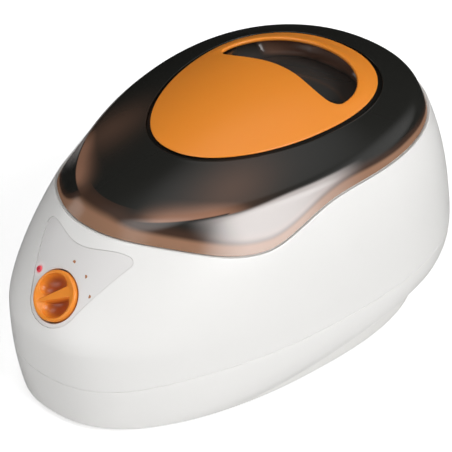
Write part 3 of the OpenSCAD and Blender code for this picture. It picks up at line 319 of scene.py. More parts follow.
def paint(piece, name, tone):
    # a number on each vertex for a material to read; tone takes the vertex's place in millimetres
    layer = piece.data.attributes.new(name, "FLOAT", "POINT")
    for vertex in piece.data.vertices:
        layer.data[vertex.index].value = tone(*(c / mm for c in vertex.co))


print("stage: tools ready")

# knob frame: u to the right, v up the slope, w out along the knob's axis
panelTilt = math.radians(panelSize["tilt"])
knobOrigin = (0.0, noseY(panelSize["knobZ"]), panelSize["knobZ"])
knobOut = (0.0, -math.cos(panelTilt), math.sin(panelTilt))
knobUp = (0.0, math.sin(panelTilt), math.cos(panelTilt))


def fromKnob(u, v, w):
    return tuple(knobOrigin[i] + (u if i == 0 else 0) + v * knobUp[i] + w * knobOut[i] for i in range(3))


def surfaceW(u, v):
    # where the tub's outside lies at that place beside the knob, found by halving
    low, high = -40.0, 20.0
    for _ in range(22):
        w = (low + high) / 2
        if shellNorm(*fromKnob(u, v, w)) > 1:
            high = w
        else:
            low = w
    return (low + high) / 2


def shieldOutline(grow=0.0):
    p = panelSize
    foot, corner, half = p["footRadius"] + grow, p["corner"] + grow, p["half"]
    top = p["top"] + p["corner"] + grow
    points = arc((0, 0), (foot, foot), 180 - p["side"], 360 + p["side"], 36)
    points += arc((half, p["top"]), (corner, corner), -p["turn"], 90, 16)
    for i in range(1, 32):
        x = half * (1 - i / 16)
        points.append((x, top - p["dip"] * (1 + math.cos(math.pi * x / half)) / 2))
    return points + arc((-half, p["top"]), (corner, corner), 90, 180 + p["turn"], 16)


def reachAlong(outline, centre, a):
    # distance from centre to a star-shaped outline in direction a
    dx, dy = math.cos(a), math.sin(a)
    best = None
    for (x0, y0), (x1, y1) in zip(outline, outline[1:] + outline[:1]):
        ex, ey = x1 - x0, y1 - y0
        det = dx * ey - dy * ex
        if abs(det) < 1e-9:
            continue
        t = ((x0 - centre[0]) * ey - (y0 - centre[1]) * ex) / det
        s = ((x0 - centre[0]) * dy - (y0 - centre[1]) * dx) / det
        if t > 0 and -1e-6 <= s <= 1 + 1e-6 and (best is None or t > best):
            best = t
    return best


# tub: two mouldings that meet at the parting line
tubMesh = {"around": 320, "upperRows": 70, "edge": 0.4, "panelCut": 28}


def upperPoint(u, v):
    a = angleOf(u)
    return shellPoint(a, mix(partingZ(a) + tub["partingGap"] / 2, seamZ(a), v))


plinth = {
    "noseIn": 4.3, "tailIn": 37.3, "sideIn": 13.2, "skew": 0.176, "square": 2.367, "floor": 1.6, "sheet": 2.2,
    "gap": 0.3, "edge": 0.8, "topEdge": 0.4, "around": 256,
}


def plinthEgg(a, inset, z):
    p = plinth
    x, y = egg(a, noseY(tub["footNose"]) + p["noseIn"] + inset, tub["tailY"] - p["tailIn"] - inset,
               tub["halfWidth"] - p["sideIn"] - inset, p["skew"], p["square"])
    return x, y, z


def lowerRows(a):
    low, high = footZ(a), partingZ(a) - tub["partingGap"] / 2
    e, wall = tubMesh["edge"], tub["wall"]
    rows = [shellPoint(a, low + e * (1 - c), e * (1 - s)) for s, c in quarter(4)]
    rows += [shellPoint(a, mix(low + e, high - e, i / 16)) for i in range(1, 16)]
    rows += [shellPoint(a, high - e + e * s, e * (1 - c)) for s, c in quarter(4)]
    rows += [shellPoint(a, high, wall)]
    rows += [shellPoint(a, mix(high, low + tub["ledge"], i / 6), wall) for i in range(1, 7)]
    rows += [plinthEgg(a, wall, low + tub["ledge"]), plinthEgg(a, wall, low), plinthEgg(a, 0, low)]
    return rows


tubUpper = wrapSheet("tubUpper", tubMesh["around"], tubMesh["upperRows"], upperPoint)
thicken(tubUpper, tub["wall"], tubMesh["edge"])
tubLower = wrapRows("tubLower", tubMesh["around"], lowerRows)


def shieldCutter(grow, depth):
    deselectAll()
    outline = shieldOutline(grow)
    bpy.ops.mesh.primitive_circle_add(vertices=len(outline), radius=1, fill_type="NGON")
    cutter = bpy.context.object
    for vertex, (x, y) in zip(cutter.data.vertices, outline):
        vertex.co = Vector(fromKnob(x, y, -depth)) * mm
    bpy.ops.object.mode_set(mode="EDIT")
    bpy.ops.mesh.select_all(action="SELECT")
    through = tuple(2 * depth * mm * c for c in knobOut)
    bpy.ops.mesh.extrude_region_move(TRANSFORM_OT_translate={"value": through})
    bpy.ops.mesh.select_all(action="SELECT")
    bpy.ops.mesh.normals_make_consistent(inside=False)
    bpy.ops.object.mode_set(mode="OBJECT")
    return cutter


inletSize = {"width": 27, "height": 20, "z": 74, "depth": 24, "gap": 0.3}
inletFace = tailY(inletSize["z"] + inletSize["height"] / 2)
cutWith(tubUpper, shieldCutter(panelSize["gap"], tubMesh["panelCut"]))
deselectAll()
bpy.ops.mesh.primitive_cube_add(size=1, location=(0, inletFace * mm, inletSize["z"] * mm))
inletCutter = bpy.context.object
inletCutter.scale = ((inletSize["width"] + 2 * inletSize["gap"]) * mm, 2 * inletSize["depth"] * mm,
                     (inletSize["height"] + 2 * inletSize["gap"]) * mm)
bpy.ops.object.transform_apply(location=True, rotation=True, scale=True)
cutWith(tubUpper, inletCutter)
for piece, node in ((tubUpper, "upper_shell"), (tubLower, "lower_shell")):
    smoothShade(piece)
    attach(piece, "tub")
    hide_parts(node)
print("stage: tub done")


# plinth under the tub, set back and closed by a flat floor
def plinthRows(a):
    p = plinth
    e, rim, wall = p["edge"], p["topEdge"], tub["wall"]
    top = footZ(a) - p["gap"]
    middle = (0.0, (noseY(tub["footNose"]) + p["noseIn"] + tub["tailY"] - p["tailIn"]) / 2)
    edge = plinthEgg(a, e, p["floor"])
    rows = [(mix(middle[0], edge[0], i / 8), mix(middle[1], edge[1], i / 8), p["floor"]) for i in range(9)]
    rows += [plinthEgg(a, e * (1 - s), p["floor"] + e * (1 - c)) for s, c in quarter(4)[1:]]
    rows += [plinthEgg(a, 0, mix(p["floor"] + e, top - rim, i / 6)) for i in range(1, 7)]
    rows += [plinthEgg(a, rim, top), plinthEgg(a, wall - rim, top), plinthEgg(a, wall, top - rim)]
    under = plinthEgg(a, wall, p["floor"] + p["sheet"])
    rows += [(mix(under[0], middle[0], i / 8), mix(under[1], middle[1], i / 8), under[2]) for i in range(9)]
    return rows


plinthPiece = wrapRows("plinth", plinth["around"], plinthRows, closed=False)
smoothShade(plinthPiece, 30)
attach(plinthPiece, "tub")
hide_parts("base_pan")

# rim collar with the ridge that locates the lid and the land round the tank
# ridgeForm gives each row's share of the ridge's height and its place across the ridge
collar = {
    "skirtGap": 0.6, "ridge": 2.2, "ridgeHeight": 8, "ridgeShare": 0.42, "land": 121.0, "landUnder": 118.6,
    "over": 2, "shoulder": 1.0, "root": 3.6, "hold": 0.3, "bevel": 0.3, "toe": 0.1, "heel": (0.5, 1.0),
    "landFrom": 1.0, "landEdge": (0.5, 0.2, 0.7, 0.4), "around": 256,
    "ridgeForm": ((0.85, 0.0), (0.95, 0.25), (1.0, 0.8), (1.0, 1.6), (0.93, 2.2)),
}


def tankPoint(a, grow, z):
    t = tankSize
    front = noseY(t["top"]) + t["noseGap"]
    rear = tailY(t["top"]) - t["tailGap"]
    half = sideX(t["top"]) - t["sideGap"]
    x, y = egg(a, front - grow, rear + grow, half + grow, t["skew"], t["square"])
    return x, y, z


def skirtPoint(a, share, inset):
    low = shellPoint(a, seamZ(a), lidSize["step"] + inset)
    x, y = creasePoint(a, inset)
    high = (x, y, creasePlane(y))
    return tuple(mix(low[i], high[i], share) for i in range(3))


def collarRows(a):
    c = collar
    hold = tub["wall"] + c["hold"]
    inner = lidSize["wall"] + c["skirtGap"]
    under = lidSize["step"] + inner
    height = creasePlane(creasePoint(a)[1]) - seamZ(a)
    share = min(c["ridgeShare"], c["ridgeHeight"] / height)
    low, top = seamZ(a) - c["root"], seamZ(a) - c["shoulder"]
    out, drop, turn, lift = c["landEdge"]
    edge = -c["over"]
    heelUp, heelIn = c["heel"]
    rows = [shellPoint(a, low, hold + c["ridge"]), shellPoint(a, low, hold)]
    rows += [shellPoint(a, top - c["bevel"], hold), shellPoint(a, top, hold + c["bevel"])]
    rows += [shellPoint(a, top, under - c["toe"])]
    rows += [skirtPoint(a, share * part, inner + across) for part, across in c["ridgeForm"]]
    rows += [shellPoint(a, top + heelUp, under + c["ridge"]), shellPoint(a, top, under + c["ridge"] + heelIn)]
    rows += [tankPoint(a, tankSize["flange"], c["land"]), tankPoint(a, c["landFrom"], c["land"]),
             tankPoint(a, edge + out, c["land"] - drop), tankPoint(a, edge, c["land"] - turn),
             tankPoint(a, edge, c["landUnder"] + lift), tankPoint(a, edge + lift, c["landUnder"]),
             tankPoint(a, tankSize["flange"], c["landUnder"])]
    return rows


rimCollar = wrapRows("rimCollar", collar["around"], collarRows)
smoothShade(rimCollar, 40)
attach(rimCollar, "tub")
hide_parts("rim_collar")
print("stage: plinth and collar done")


# tank: drawn sheet with a rounded floor corner
tankMesh = {"around": 224, "rows": 12}


def tankRows(a):
    t = tankSize
    corner, sheet, draft, top = t["corner"], t["sheet"], t["draft"], t["top"]
    bend, brim = t["floor"] + corner, top - t["lipDrop"]
    shares = [(i + 1) / tankMesh["rows"] for i in range(tankMesh["rows"])]
    turn = quarter(tankMesh["rows"])
    rows = [tankPoint(a, -draft - corner * (1 - s), t["floor"] + corner * (1 - c)) for s, c in turn]
    rows += [tankPoint(a, -draft * (1 - share), mix(bend, top - sheet, share)) for share in shares]
    rows += [tankPoint(a, t["flange"], top - sheet), tankPoint(a, t["flange"], top)]
    rows += [tankPoint(a, t["lip"], top), tankPoint(a, -sheet, brim)]
    rows += [tankPoint(a, -draft * share - sheet, mix(brim, bend, share)) for share in shares]
    inner = corner - sheet
    rows += [tankPoint(a, -draft - sheet - inner * (1 - s), t["floor"] + sheet + inner * (1 - c))
             for s, c in turn[-2::-1]]
    middle = (noseY(top) + t["noseGap"] + tailY(top) - t["tailGap"]) / 2
    return [(0.0, middle, t["floor"])] + rows + [(0.0, middle, t["floor"] + sheet)]


tankPiece = wrapRows("waxTank", tankMesh["around"], tankRows, closed=False)
smoothShade(tankPiece, 40)
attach(tankPiece, "tub")
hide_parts("tank")
print("stage: tank done")

# lid: a dome with a soft crease, a recess for the plate, a finger well and a waved skirt
lidMesh = {
    "around": 320, "skirtRows": 20, "creaseRows": 14, "domeRows": 26, "rimRows": 5, "plateRows": 40,
    "insideRows": 40, "round": 3.4, "roundRuns": (1.5, 2.2), "domeEnd": 0.97, "rimRound": 0.5, "footIn": 0.4,
    "centre": (0.0, 62.0), "skirtTop": 0.9,
}


def lidRows(a):
    m, s, p = lidMesh, lidSize, plateSize
    x0, y0 = creasePoint(a)
    crease = Vector((x0, y0, creasePlane(y0)))
    height = crease.z - seamZ(a)
    low = Vector(skirtPoint(a, s["seamGap"] / height, 0))
    halfLength = p["halfLength"] + p["side"]
    ex, ey = egg(a, -halfLength, halfLength, p["half"] + p["side"], p["skew"], p["square"])
    ey += p["midY"]

    def domePoint(t):  # from the crease, t = 0, to the rim of the recess, t = 1
        x, y = mix(x0, ex, t), mix(y0, ey, t)
        return Vector((x, y, capZ(x, y)))

    def towards(x, y, t):
        return mix(x, m["centre"][0], t), mix(y, m["centre"][1], t)

    start = m["round"] * m["roundRuns"][1] / math.hypot(x0 - ex, y0 - ey)
    top = low.lerp(crease, max(0.0, 1 - m["round"] * m["roundRuns"][0] / height))
    rows = [low.lerp(top, i / m["skirtRows"]) for i in range(m["skirtRows"] + 1)]
    inner = domePoint(start)
    for i in range(1, m["creaseRows"] + 1):  # a quadratic curve rounds the crease
        t = i / m["creaseRows"]
        rows.append(top * (1 - t) ** 2 + crease * 2 * t * (1 - t) + inner * t * t)
    rows += [domePoint(mix(start, m["domeEnd"], i / m["domeRows"])) for i in range(1, m["domeRows"] + 1)]
    rim = domePoint(1.0)
    inward = Vector((rim.x - x0, rim.y - y0, 0)).normalized()
    r = m["rimRound"]
    for sine, cosine in quarter(m["rimRows"]):
        rows.append(rim + inward * r * (sine - 1) - Vector((0, 0, r * (1 - cosine))))
    rows += [rim - Vector((0, 0, mix(r, p["sink"] - r, i / 3))) for i in range(1, 4)]
    rows.append(rim + inward * m["footIn"] - Vector((0, 0, p["sink"])))
    footX, footY = rim.x + inward.x * m["footIn"], rim.y + inward.y * m["footIn"]
    for i in range(1, m["plateRows"] + 1):
        x, y = towards(footX, footY, i / m["plateRows"])
        rows.append(Vector((x, y, capZ(x, y) - max(p["sink"], wellDrop(x, y)))))
    cx, cy = creasePoint(a, s["wall"])
    for i in range(m["insideRows"], -1, -1):
        x, y = towards(cx, cy, i / m["insideRows"])
        rows.append(Vector((x, y, capZ(x, y) - underStep(x, y) - s["wall"])))
    shares = [mix(m["skirtTop"], s["seamGap"] / height, i / 8) for i in range(9)]
    return rows + [Vector(skirtPoint(a, share, s["wall"])) for share in shares]


lidPiece = wrapRows("lidShell", lidMesh["around"], lidRows)
smoothShade(lidPiece, 35)

# what the smoked plastic shows through, painted into its colour. rimBand is the height above the seam in
# shares of bandHeight, and it grows faster where the brown band is narrow: each narrowing has a direction, a
# start, a run and a share, and the narrowings are painted shade, darkening the band most on the -x side and
# towards the tail.
# warmTone is painted brown light beside the crease and on the well's far wall. paleTone is painted
# light: the lit white collar behind the skirt's long sides, with a little painted light on the well's floor
lidTone = {
    "bandHeight": 30, "bandInner": 0.93, "bandNone": 40,
    "narrowing": ((0, 1, 10, 60, 0.5), (0, 1, 80, 50, 0.9), (-1, 0, 22, 26, 2.5), (1, 0, 5, 30, 0.35)),
    "streakIn": 0.075, "streakFrom": -128, "streakTo": -52, "fade": 16, "streakSide": (18, 25),
    "patch": (58, -60), "patchRun": (20, 34), "patchShare": 0.22,
    "wallShare": 0.48, "wallFrom": (90, 10), "wallEdge": 2, "floorShare": 0.05,
    "paleFrom": -104, "paleFull": -70, "paleEnd": -10, "paleOut": 34, "paleLow": 0.35, "paleHeight": (5, 5),
    "paleInner": 0.972, "innerFrom": (-75, 50), "innerEdge": 0.02,
}


def skirtPlace(x, y, z):
    # height above the seam, and the share of the way out to the crease's outline
    s = max(-1.0, min(1.0, (2 * y - noseY(z) - tailY(z)) / (tailY(z) - noseY(z))))
    a = math.asin(signedPow(s, rimSquare / 2))
    return z - seamZ(a), eggNorm(x, y, creaseFront, creaseRear, creaseHalf, rimSkew, rimSquare)


def rimBand(x, y, z):
    t = lidTone
    height, outside = skirtPlace(x, y, z)
    faster = 1.0
    # painted shade: each narrowing makes the band turn dark sooner
    for dx, dy, start, run, share in t["narrowing"]:
        faster += share * rise(x * dx + y * dy, start, run)
    return (height * faster if outside > t["bandInner"] else t["bandNone"]) / t["bandHeight"]


# painted light: a brown glow beside the crease, in a patch on each side and on the well's far wall
def warmTone(x, y, z):
    t = lidTone
    rho = lidRho(x, y)
    if rho > 1.001:
        return 0.0
    drop = wellDrop(x, y)
    if drop > 0:
        wall = rise(drop, 0, t["wallEdge"]) * smoothStep((lidSize["wellDepth"] - drop) / t["wallEdge"])
        return t["wallShare"] * wall * rise(y, *t["wallFrom"])
    streak = math.exp(-((1 - rho) / t["streakIn"]) ** 2) * rise(abs(x), *t["streakSide"])
    streak *= rise(y, t["streakFrom"], t["fade"]) * smoothStep((t["streakTo"] - y) / (2 * t["fade"]))
    aside, ahead = (abs(x) - t["patch"][0]) / t["patchRun"][0], (y - t["patch"][1]) / t["patchRun"][1]
    return max(streak, t["patchShare"] * math.exp(-aside ** 2 - ahead ** 2))


# painted light: the lit collar showing pale through the skirt, and a little light on the well's floor
def paleTone(x, y, z):
    t = lidTone
    height, outside = skirtPlace(x, y, z)
    pale = rise(y, t["paleFrom"], t["paleFull"] - t["paleFrom"])
    pale *= smoothStep((t["paleOut"] - y) / (t["paleOut"] - t["paleEnd"]))
    pale *= mix(t["paleLow"], 1, rise(height, *t["paleHeight"]))
    pale *= rise(outside, mix(1, t["paleInner"], rise(y, *t["innerFrom"])), t["innerEdge"])
    return max(pale, t["floorShare"] * smoothStep(wellDrop(x, y) / lidSize["wellDepth"]))


paint(lidPiece, "rimBand", rimBand)
paint(lidPiece, "warmTone", warmTone)
paint(lidPiece, "paleTone", paleTone)
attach(lidPiece, "lid")
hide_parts("lid")
print("stage: lid done")


# handle plate: lies in the lid's recess, with the hand opening and its beaded grip
def openingOutline():
    p = plateSize
    lobeX, lobe = p["openHalf"] - p["lobeWidth"], (p["lobeWidth"], p["lobeRun"])
    points = arc((0, p["openY"]), (p["openHalf"], p["openRear"]), 0, 180, 72)
    points += arc((-lobeX, p["openY"]), lobe, 180, 270, 12)[1:]
    for i in range(1, 48):
        x = lobeX * (i / 24 - 1)
        points.append((x, p["openY"] - p["lobeRun"] + p["tongue"] * (1 + math.cos(math.pi * x / lobeX)) / 2))
    return points + arc((lobeX, p["openY"]), lobe, 270, 360, 12)[:-1]


def plateOutline():
    p = plateSize
    points = []
    for i in range(240):
        x, y = egg(angleOf(i / 240), -p["halfLength"], p["halfLength"], p["half"], p["skew"], p["square"])
        points.append((x, y + p["midY"]))
    return points


def gripRise(x, y):
    p = plateSize
    e = math.hypot(x / p["openHalf"], (y - p["openY"]) / p["openRear"])
    fade = rise(y, p["openY"] + p["gripStart"], p["gripRamp"])
    return p["gripHeight"] * math.exp(-((e - p["gripAt"]) / p["gripRun"]) ** 2) * fade


# lip gives two places under the rounded outer edge, in from the outline and down
plateMesh = {
    "around": 320, "centre": (0.0, 76.0), "edgeRows": 8, "topRows": 48, "topEase": 0.4, "underRows": 16,
    "lip": ((0.1, 0.15), (0.3, 0.2)),
}
outerLine, innerLine = plateOutline(), openingOutline()


def plateRows(a):
    p, m = plateSize, plateMesh
    far = reachAlong(outerLine, m["centre"], a)
    near = reachAlong(innerLine, m["centre"], a)
    dx, dy = math.cos(a), math.sin(a)
    rIn, rOut = p["innerRound"], p["outerRound"]

    def at(d, up):
        x, y = m["centre"][0] + dx * d, m["centre"][1] + dy * d
        return x, y, capZ(x, y) - p["sink"] + p["gap"] + gripRise(x, y) + up

    turn = quarter(m["edgeRows"])
    rows = [at(near + rIn * (1 - c), p["thick"] - rIn * (1 - s)) for s, c in turn]
    for i in range(1, m["topRows"]):
        t = i / m["topRows"]
        rows.append(at(mix(near + rIn, far - rOut, mix(t, smoothStep(t), m["topEase"])), p["thick"]))
    rows += [at(far - rOut * (1 - s), p["thick"] - rOut * (1 - c)) for s, c in turn]
    (lipIn, lipDown), (underIn, underDown) = m["lip"]
    rows.append(at(far - lipIn, p["thick"] - rOut - lipDown))
    for i in range(1, m["underRows"]):
        d = mix(far - underIn, near + rIn, i / m["underRows"])
        rows.append(at(d, (p["thick"] - rOut - underDown) * (1 - smoothStep((far - d) / p["undercut"]))))
    # the opening's edge is rolled right round
    return rows + [at(near + rIn * (1 - s), rIn * (1 - c)) for s, c in turn[:-1]]


handlePlate = wrapRows("handlePlate", plateMesh["around"], plateRows)
smoothShade(handlePlate, 40)
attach(handlePlate, "lid")
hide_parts("handle_plate")
print("stage: handle plate done")

# control panel: an inlaid shield with a round cup for the knob
panelMesh = {"around": 240, "edgeRows": 7, "topRows": 26}
shieldLine = shieldOutline()


def panelRows(a):
    p, m = panelSize, panelMesh
    far = reachAlong(shieldLine, (0.0, 0.0), a)
    dx, dy = math.cos(a), math.sin(a)
    near = p["cupRadius"]
    r = p["edgeRound"]

    def at(d, up):
        return fromKnob(dx * d, dy * d, surfaceW(dx * d, dy * d) + p["proud"] + up)

    def cup(d, w):
        return fromKnob(dx * d, dy * d, w)

    mouth = surfaceW(dx * near, dy * near)
    under, wall, lip = p["cupFloor"] - p["cupUnder"], near + p["cupWall"], p["lipRound"]
    rows = [cup(p["neck"], under)]
    rows += [cup(mix(p["neck"], near - p["cupRound"], i / 8), p["cupFloor"]) for i in range(9)]
    rows += [cup(near, p["cupFloor"] + p["cupRound"]), cup(near, mouth - p["thick"])]
    rows += [at(near + lip * (1 - c), -lip * (1 - s)) for s, c in quarter(3)]
    rows += [at(mix(near + lip, far - r, i / m["topRows"]), 0.0) for i in range(1, m["topRows"])]
    rows += [at(far - r * (1 - s), -r * (1 - c)) for s, c in quarter(m["edgeRows"])]
    rows += [at(far, -p["thick"]), at(mix(near + p["underOut"], far, 0.5), -p["thick"] - p["underSag"])]
    return rows + [cup(wall, mouth - p["thick"] - p["underDrop"]), cup(wall, under)]


controlPanel = wrapRows("controlPanel", panelMesh["around"], panelRows)
smoothShade(controlPanel, 40)
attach(controlPanel, "tub")
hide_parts("control_panel")
print("stage: control panel done")

# knob: a dished disc, a grip bar across it and two deep scoops beside the bar
knobMesh = {"around": 240, "rows": 90, "ease": 1.35}


def softMin(a, b, k):
    h = max(k - abs(a - b), 0.0) / k
    return min(a, b) - h * h * k / 4


def softMax(a, b, k):
    return -softMin(-a, -b, k)


def knobTop(x, y):
    k = knobSize
    r = math.hypot(x, y)
    rim = k["rise"]
    if r > k["radius"] - k["round"]:
        d = r - (k["radius"] - k["round"])
        rim -= k["round"] - math.sqrt(max(0.0, k["round"] ** 2 - d * d))
    sphere = (k["dishRadius"] ** 2 + k["dishDepth"] ** 2) / (2 * k["dishDepth"])
    hollow = k["rise"] + sphere - k["dishDepth"] - math.sqrt(max(0.0, sphere * sphere - r * r))
    c, s = math.cos(math.radians(k["barAngle"])), math.sin(math.radians(k["barAngle"]))
    onward, aside = x * c + y * s, abs(-x * s + y * c)  # along the bar and away from it
    d = math.hypot(onward / k["scoopLong"], aside - k["scoopOut"])
    if d < k["scoopRadius"]:
        scoop = k["rise"] + k["scoopRadius"] - k["scoopDepth"] - math.sqrt(k["scoopRadius"] ** 2 - d * d)
        hollow = softMin(hollow, scoop, k["blend"])
    edge = aside - k["barWidth"] / 2 - onward * k["barTaper"]  # the bar: flat top with soft flanks
    if edge < k["barReach"]:
        slope, curve = k["barFlank"]
        bar = k["rise"] - k["barSunk"] - max(0.0, edge) ** 2 * curve - max(0.0, edge) * slope
        hollow = softMax(hollow, bar, k["blend"])
    return softMin(rim, hollow, k["rimBlend"])


def knobRows(a):
    k, m = knobSize, knobMesh
    dx, dy = math.cos(a), math.sin(a)
    rows = []
    for i in range(m["rows"] + 1):
        d = k["radius"] * (1 - (1 - i / m["rows"]) ** m["ease"])
        rows.append(fromKnob(dx * d, dy * d, knobTop(dx * d, dy * d)))
    sides = [(k["radius"], mix(k["rise"] - k["round"], k["bottom"], i / 6)) for i in range(1, 7)]
    bore = k["bottom"] + k["boreRise"]
    for d, w in sides + [(k["underRadius"], k["bottom"]), (k["boreRadius"], bore), (0, bore)]:
        rows.append(fromKnob(dx * d, dy * d, w))
    return rows


def scoopShade(x, y, z):
    # painted shade: how far the scoops lie below the rim
    out = sum((c - origin) * way for c, origin, way in zip((x, y, z), knobOrigin, knobOut))
    return rise(knobSize["rise"] - out, knobSize["shadeFrom"], knobSize["shadeRun"])


knobPiece = wrapRows("knobCap", knobMesh["around"], knobRows, closed=False)
smoothShade(knobPiece, 50)
paint(knobPiece, "scoopShade", scoopShade)
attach(knobPiece, "knob")
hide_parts("knob")
print("stage: knob done")


# materials: shared effects first
def addSocket(group, name, way, kind, value=None):
    socket = group.interface.new_socket(name=name, in_out=way, socket_type=kind)
    if value is not None:
        socket.default_value = value


def feed(node, inputs):
    # each input gets a constant, or a link from another node's socket; in0 stands for the first, and so on
    for key, value in inputs.items():
        socket = node.inputs[int(key[2:]) if key.startswith("in") else key]
        if isinstance(value, bpy.types.NodeSocket):
            node.id_data.links.new(value, socket)
        else:
            socket.default_value = value
    return node


def newNode(nodes, kind, operation=None, **inputs):
    node = nodes.new("ShaderNode" + kind)
    if operation:
        node.operation = operation
    return feed(node, inputs)


def startGroup(name, inputs, outputs):
    group = bpy.data.node_groups.new(name, "ShaderNodeTree")
    for label, value in inputs.items():
        kind = "NodeSocketColor" if isinstance(value, tuple) and len(value) == 4 else \
            "NodeSocketVector" if isinstance(value, tuple) else "NodeSocketFloat"
        addSocket(group, label, "INPUT", kind, value)
    for label in outputs:
        addSocket(group, label, "OUTPUT", "NodeSocketColor" if label == "Color" else "NodeSocketFloat")
    return group, group.nodes.new("NodeGroupInput"), group.nodes.new("NodeGroupOutput")


def mouldedGroup():
    # fine grain, slow sheen changes and a faint colour drift of moulded plastic
    group, entry, leave = startGroup(
        "mouldedSkin", {"Color": (0.8, 0.8, 0.8, 1), "Drift": 0.03, "Roughness": 0.3, "Sheen Change": 0.06,
                        "Grain Size": 900.0}, ("Color", "Roughness", "Height"))
    n, given = group.nodes, entry.outputs
    place = newNode(n, "TexCoord").outputs["Object"]
    cloud = newNode(n, "TexNoise", Vector=place, Scale=22, Detail=4)
    grain = newNode(n, "TexNoise", Vector=place, Scale=given["Grain Size"], Detail=3)
    centred = newNode(n, "Math", "SUBTRACT", in0=cloud.outputs["Fac"], in1=0.5).outputs[0]
    drift = newNode(n, "Math", "MULTIPLY_ADD", in0=centred, in1=given["Drift"], in2=1.0)
    tint = newNode(n, "VectorMath", "SCALE", in0=given["Color"], Scale=drift.outputs[0])
    rough = newNode(n, "Math", "MULTIPLY_ADD", in0=centred, in1=given["Sheen Change"], in2=given["Roughness"])
    feed(leave, {"Color": tint.outputs["Vector"], "Roughness": rough.outputs[0]})
    feed(leave, {"Height": grain.outputs["Fac"]})
    return group


def workedGroup():
    # two tones in a stretched noise: brush marks, drawing lines, plating clouds, felt or cast skin
    group, entry, leave = startGroup(
        "workedSkin", {"Color": (0.7, 0.7, 0.7, 1), "Second Color": (0.5, 0.5, 0.5, 1),
                       "Stretch": (1.0, 1.0, 1.0), "Scale": 400.0, "Cloud Scale": 60.0, "Cloud Share": 0.5,
                       "Roughness": 0.35, "Roughness Change": 0.15}, ("Color", "Roughness", "Height"))
    n, given = group.nodes, entry.outputs
    place = newNode(n, "TexCoord").outputs["Object"]
    pulled = newNode(n, "VectorMath", "MULTIPLY", in0=place, in1=given["Stretch"]).outputs["Vector"]
    marks = newNode(n, "TexNoise", Vector=pulled, Scale=given["Scale"], Detail=5).outputs["Fac"]
    clouds = newNode(n, "TexNoise", Vector=place, Scale=given["Cloud Scale"], Detail=4).outputs["Fac"]
    blended = newNode(n, "Mix", in0=given["Cloud Share"], in2=marks, in3=clouds).outputs[0]
    steep = newNode(n, "MapRange", **{"Value": blended, "From Min": 0.34, "From Max": 0.66}).outputs["Result"]
    tone = n.new("ShaderNodeMix")
    tone.data_type = "RGBA"
    feed(tone, {"in0": steep, "in6": given["Color"], "in7": given["Second Color"]})
    change, base = given["Roughness Change"], given["Roughness"]
    rough = newNode(n, "Math", "MULTIPLY_ADD", in0=steep, in1=change, in2=base)
    feed(leave, {"Color": tone.outputs[2], "Roughness": rough.outputs[0], "Height": marks})
    return group


moulded, worked = mouldedGroup(), workedGroup()


def skinMaterial(name, group, values, bump, sockets=None, colorNode=None):
    # a Principled shader fed by one of the shared groups, with the group's height in a bump
    material = bpy.data.materials.new(name)
    material.use_nodes = True
    nodes = material.node_tree.nodes
    skin = nodes.new("ShaderNodeGroup")
    skin.node_tree = group
    feed(skin, {key: (*value, 1) if "Color" in key else value for key, value in values.items()})
    if colorNode:
        feed(skin, {"Color": colorNode(nodes)})
    bumpNode = newNode(nodes, "Bump", Strength=bump, Distance=0.0004, Height=skin.outputs["Height"])
    shader = feed(nodes["Principled BSDF"], sockets or {})
    feed(shader, {"Base Color": skin.outputs["Color"], "Roughness": skin.outputs["Roughness"],
                  "Normal": bumpNode.outputs["Normal"]})
    return material


def mouldedMaterial(name, color, roughness, drift=0.03, grainSize=900.0, bump=0.03, sockets=None,
                    colorNode=None):
    values = {"Color": color, "Roughness": roughness, "Drift": drift, "Grain Size": grainSize}
    return skinMaterial(name, moulded, values, bump, sockets, colorNode)


def workedMaterial(name, color, second, roughness, metal=0.0, stretch=(1, 1, 1), scale=1200.0,
                   cloudScale=200.0, cloudShare=0.5, change=0.1, bump=0.3, sockets=None):
    values = {"Color": color, "Second Color": second, "Roughness": roughness, "Roughness Change": change,
              "Stretch": stretch, "Scale": scale, "Cloud Scale": cloudScale, "Cloud Share": cloudShare}
    return skinMaterial(name, worked, values, bump, {"Metallic": metal, **(sockets or {})})


def ramp(nodes, share, stops, interpolation="EASE"):
    node = newNode(nodes, "ValToRGB", Fac=share)
    node.color_ramp.interpolation = interpolation
    elements = node.color_ramp.elements
    while len(elements) < len(stops):
        elements.new(0.5)
    for element, (position, color) in zip(elements, stops):
        element.position = position
        element.color = (*color, 1)
    return node.outputs["Color"]


white = (0.87, 0.862, 0.845)
# the panel's grey is painted shade on the same white plastic as the tub
panelShadeGrey = (0.79, 0.775, 0.765)
orangeBase = (0.93, 0.30, 0.035)
lampTurn = math.radians(panelSize["lampAngle"])
lampU, lampV = panelSize["lampOut"] * math.cos(lampTurn), panelSize["lampOut"] * math.sin(lampTurn)
lampPlace = [c * mm for c in fromKnob(lampU, lampV, surfaceW(lampU, lampV))]


def byLamp(nodes, reach, stops):
    # a colour that goes with the distance from the lamp, in shares of reach
    place = newNode(nodes, "TexCoord").outputs["Object"]
    away = newNode(nodes, "VectorMath", "DISTANCE", in0=place, in1=lampPlace)
    share = newNode(nodes, "Math", "DIVIDE", in0=away.outputs["Value"], in1=reach * mm)
    return ramp(nodes, share.outputs[0], stops)


def byPaint(nodes, name, stops, interpolation="LINEAR"):
    # a colour that goes with a number painted on the piece
    painted = newNode(nodes, "Attribute")
    painted.attribute_name = name
    return ramp(nodes, painted.outputs["Fac"], stops, interpolation)


def panelColor(nodes):
    # white, with the red lamp's light painted round its lens as a pink glow bleeding into the plastic;
    # further out a grey that is painted shade
    return byLamp(nodes, 8, [(0.28, (0.93, 0.50, 0.50)), (0.48, (0.90, 0.84, 0.83)),
                             (0.80, (0.80, 0.78, 0.77)), (1.0, panelShadeGrey)])


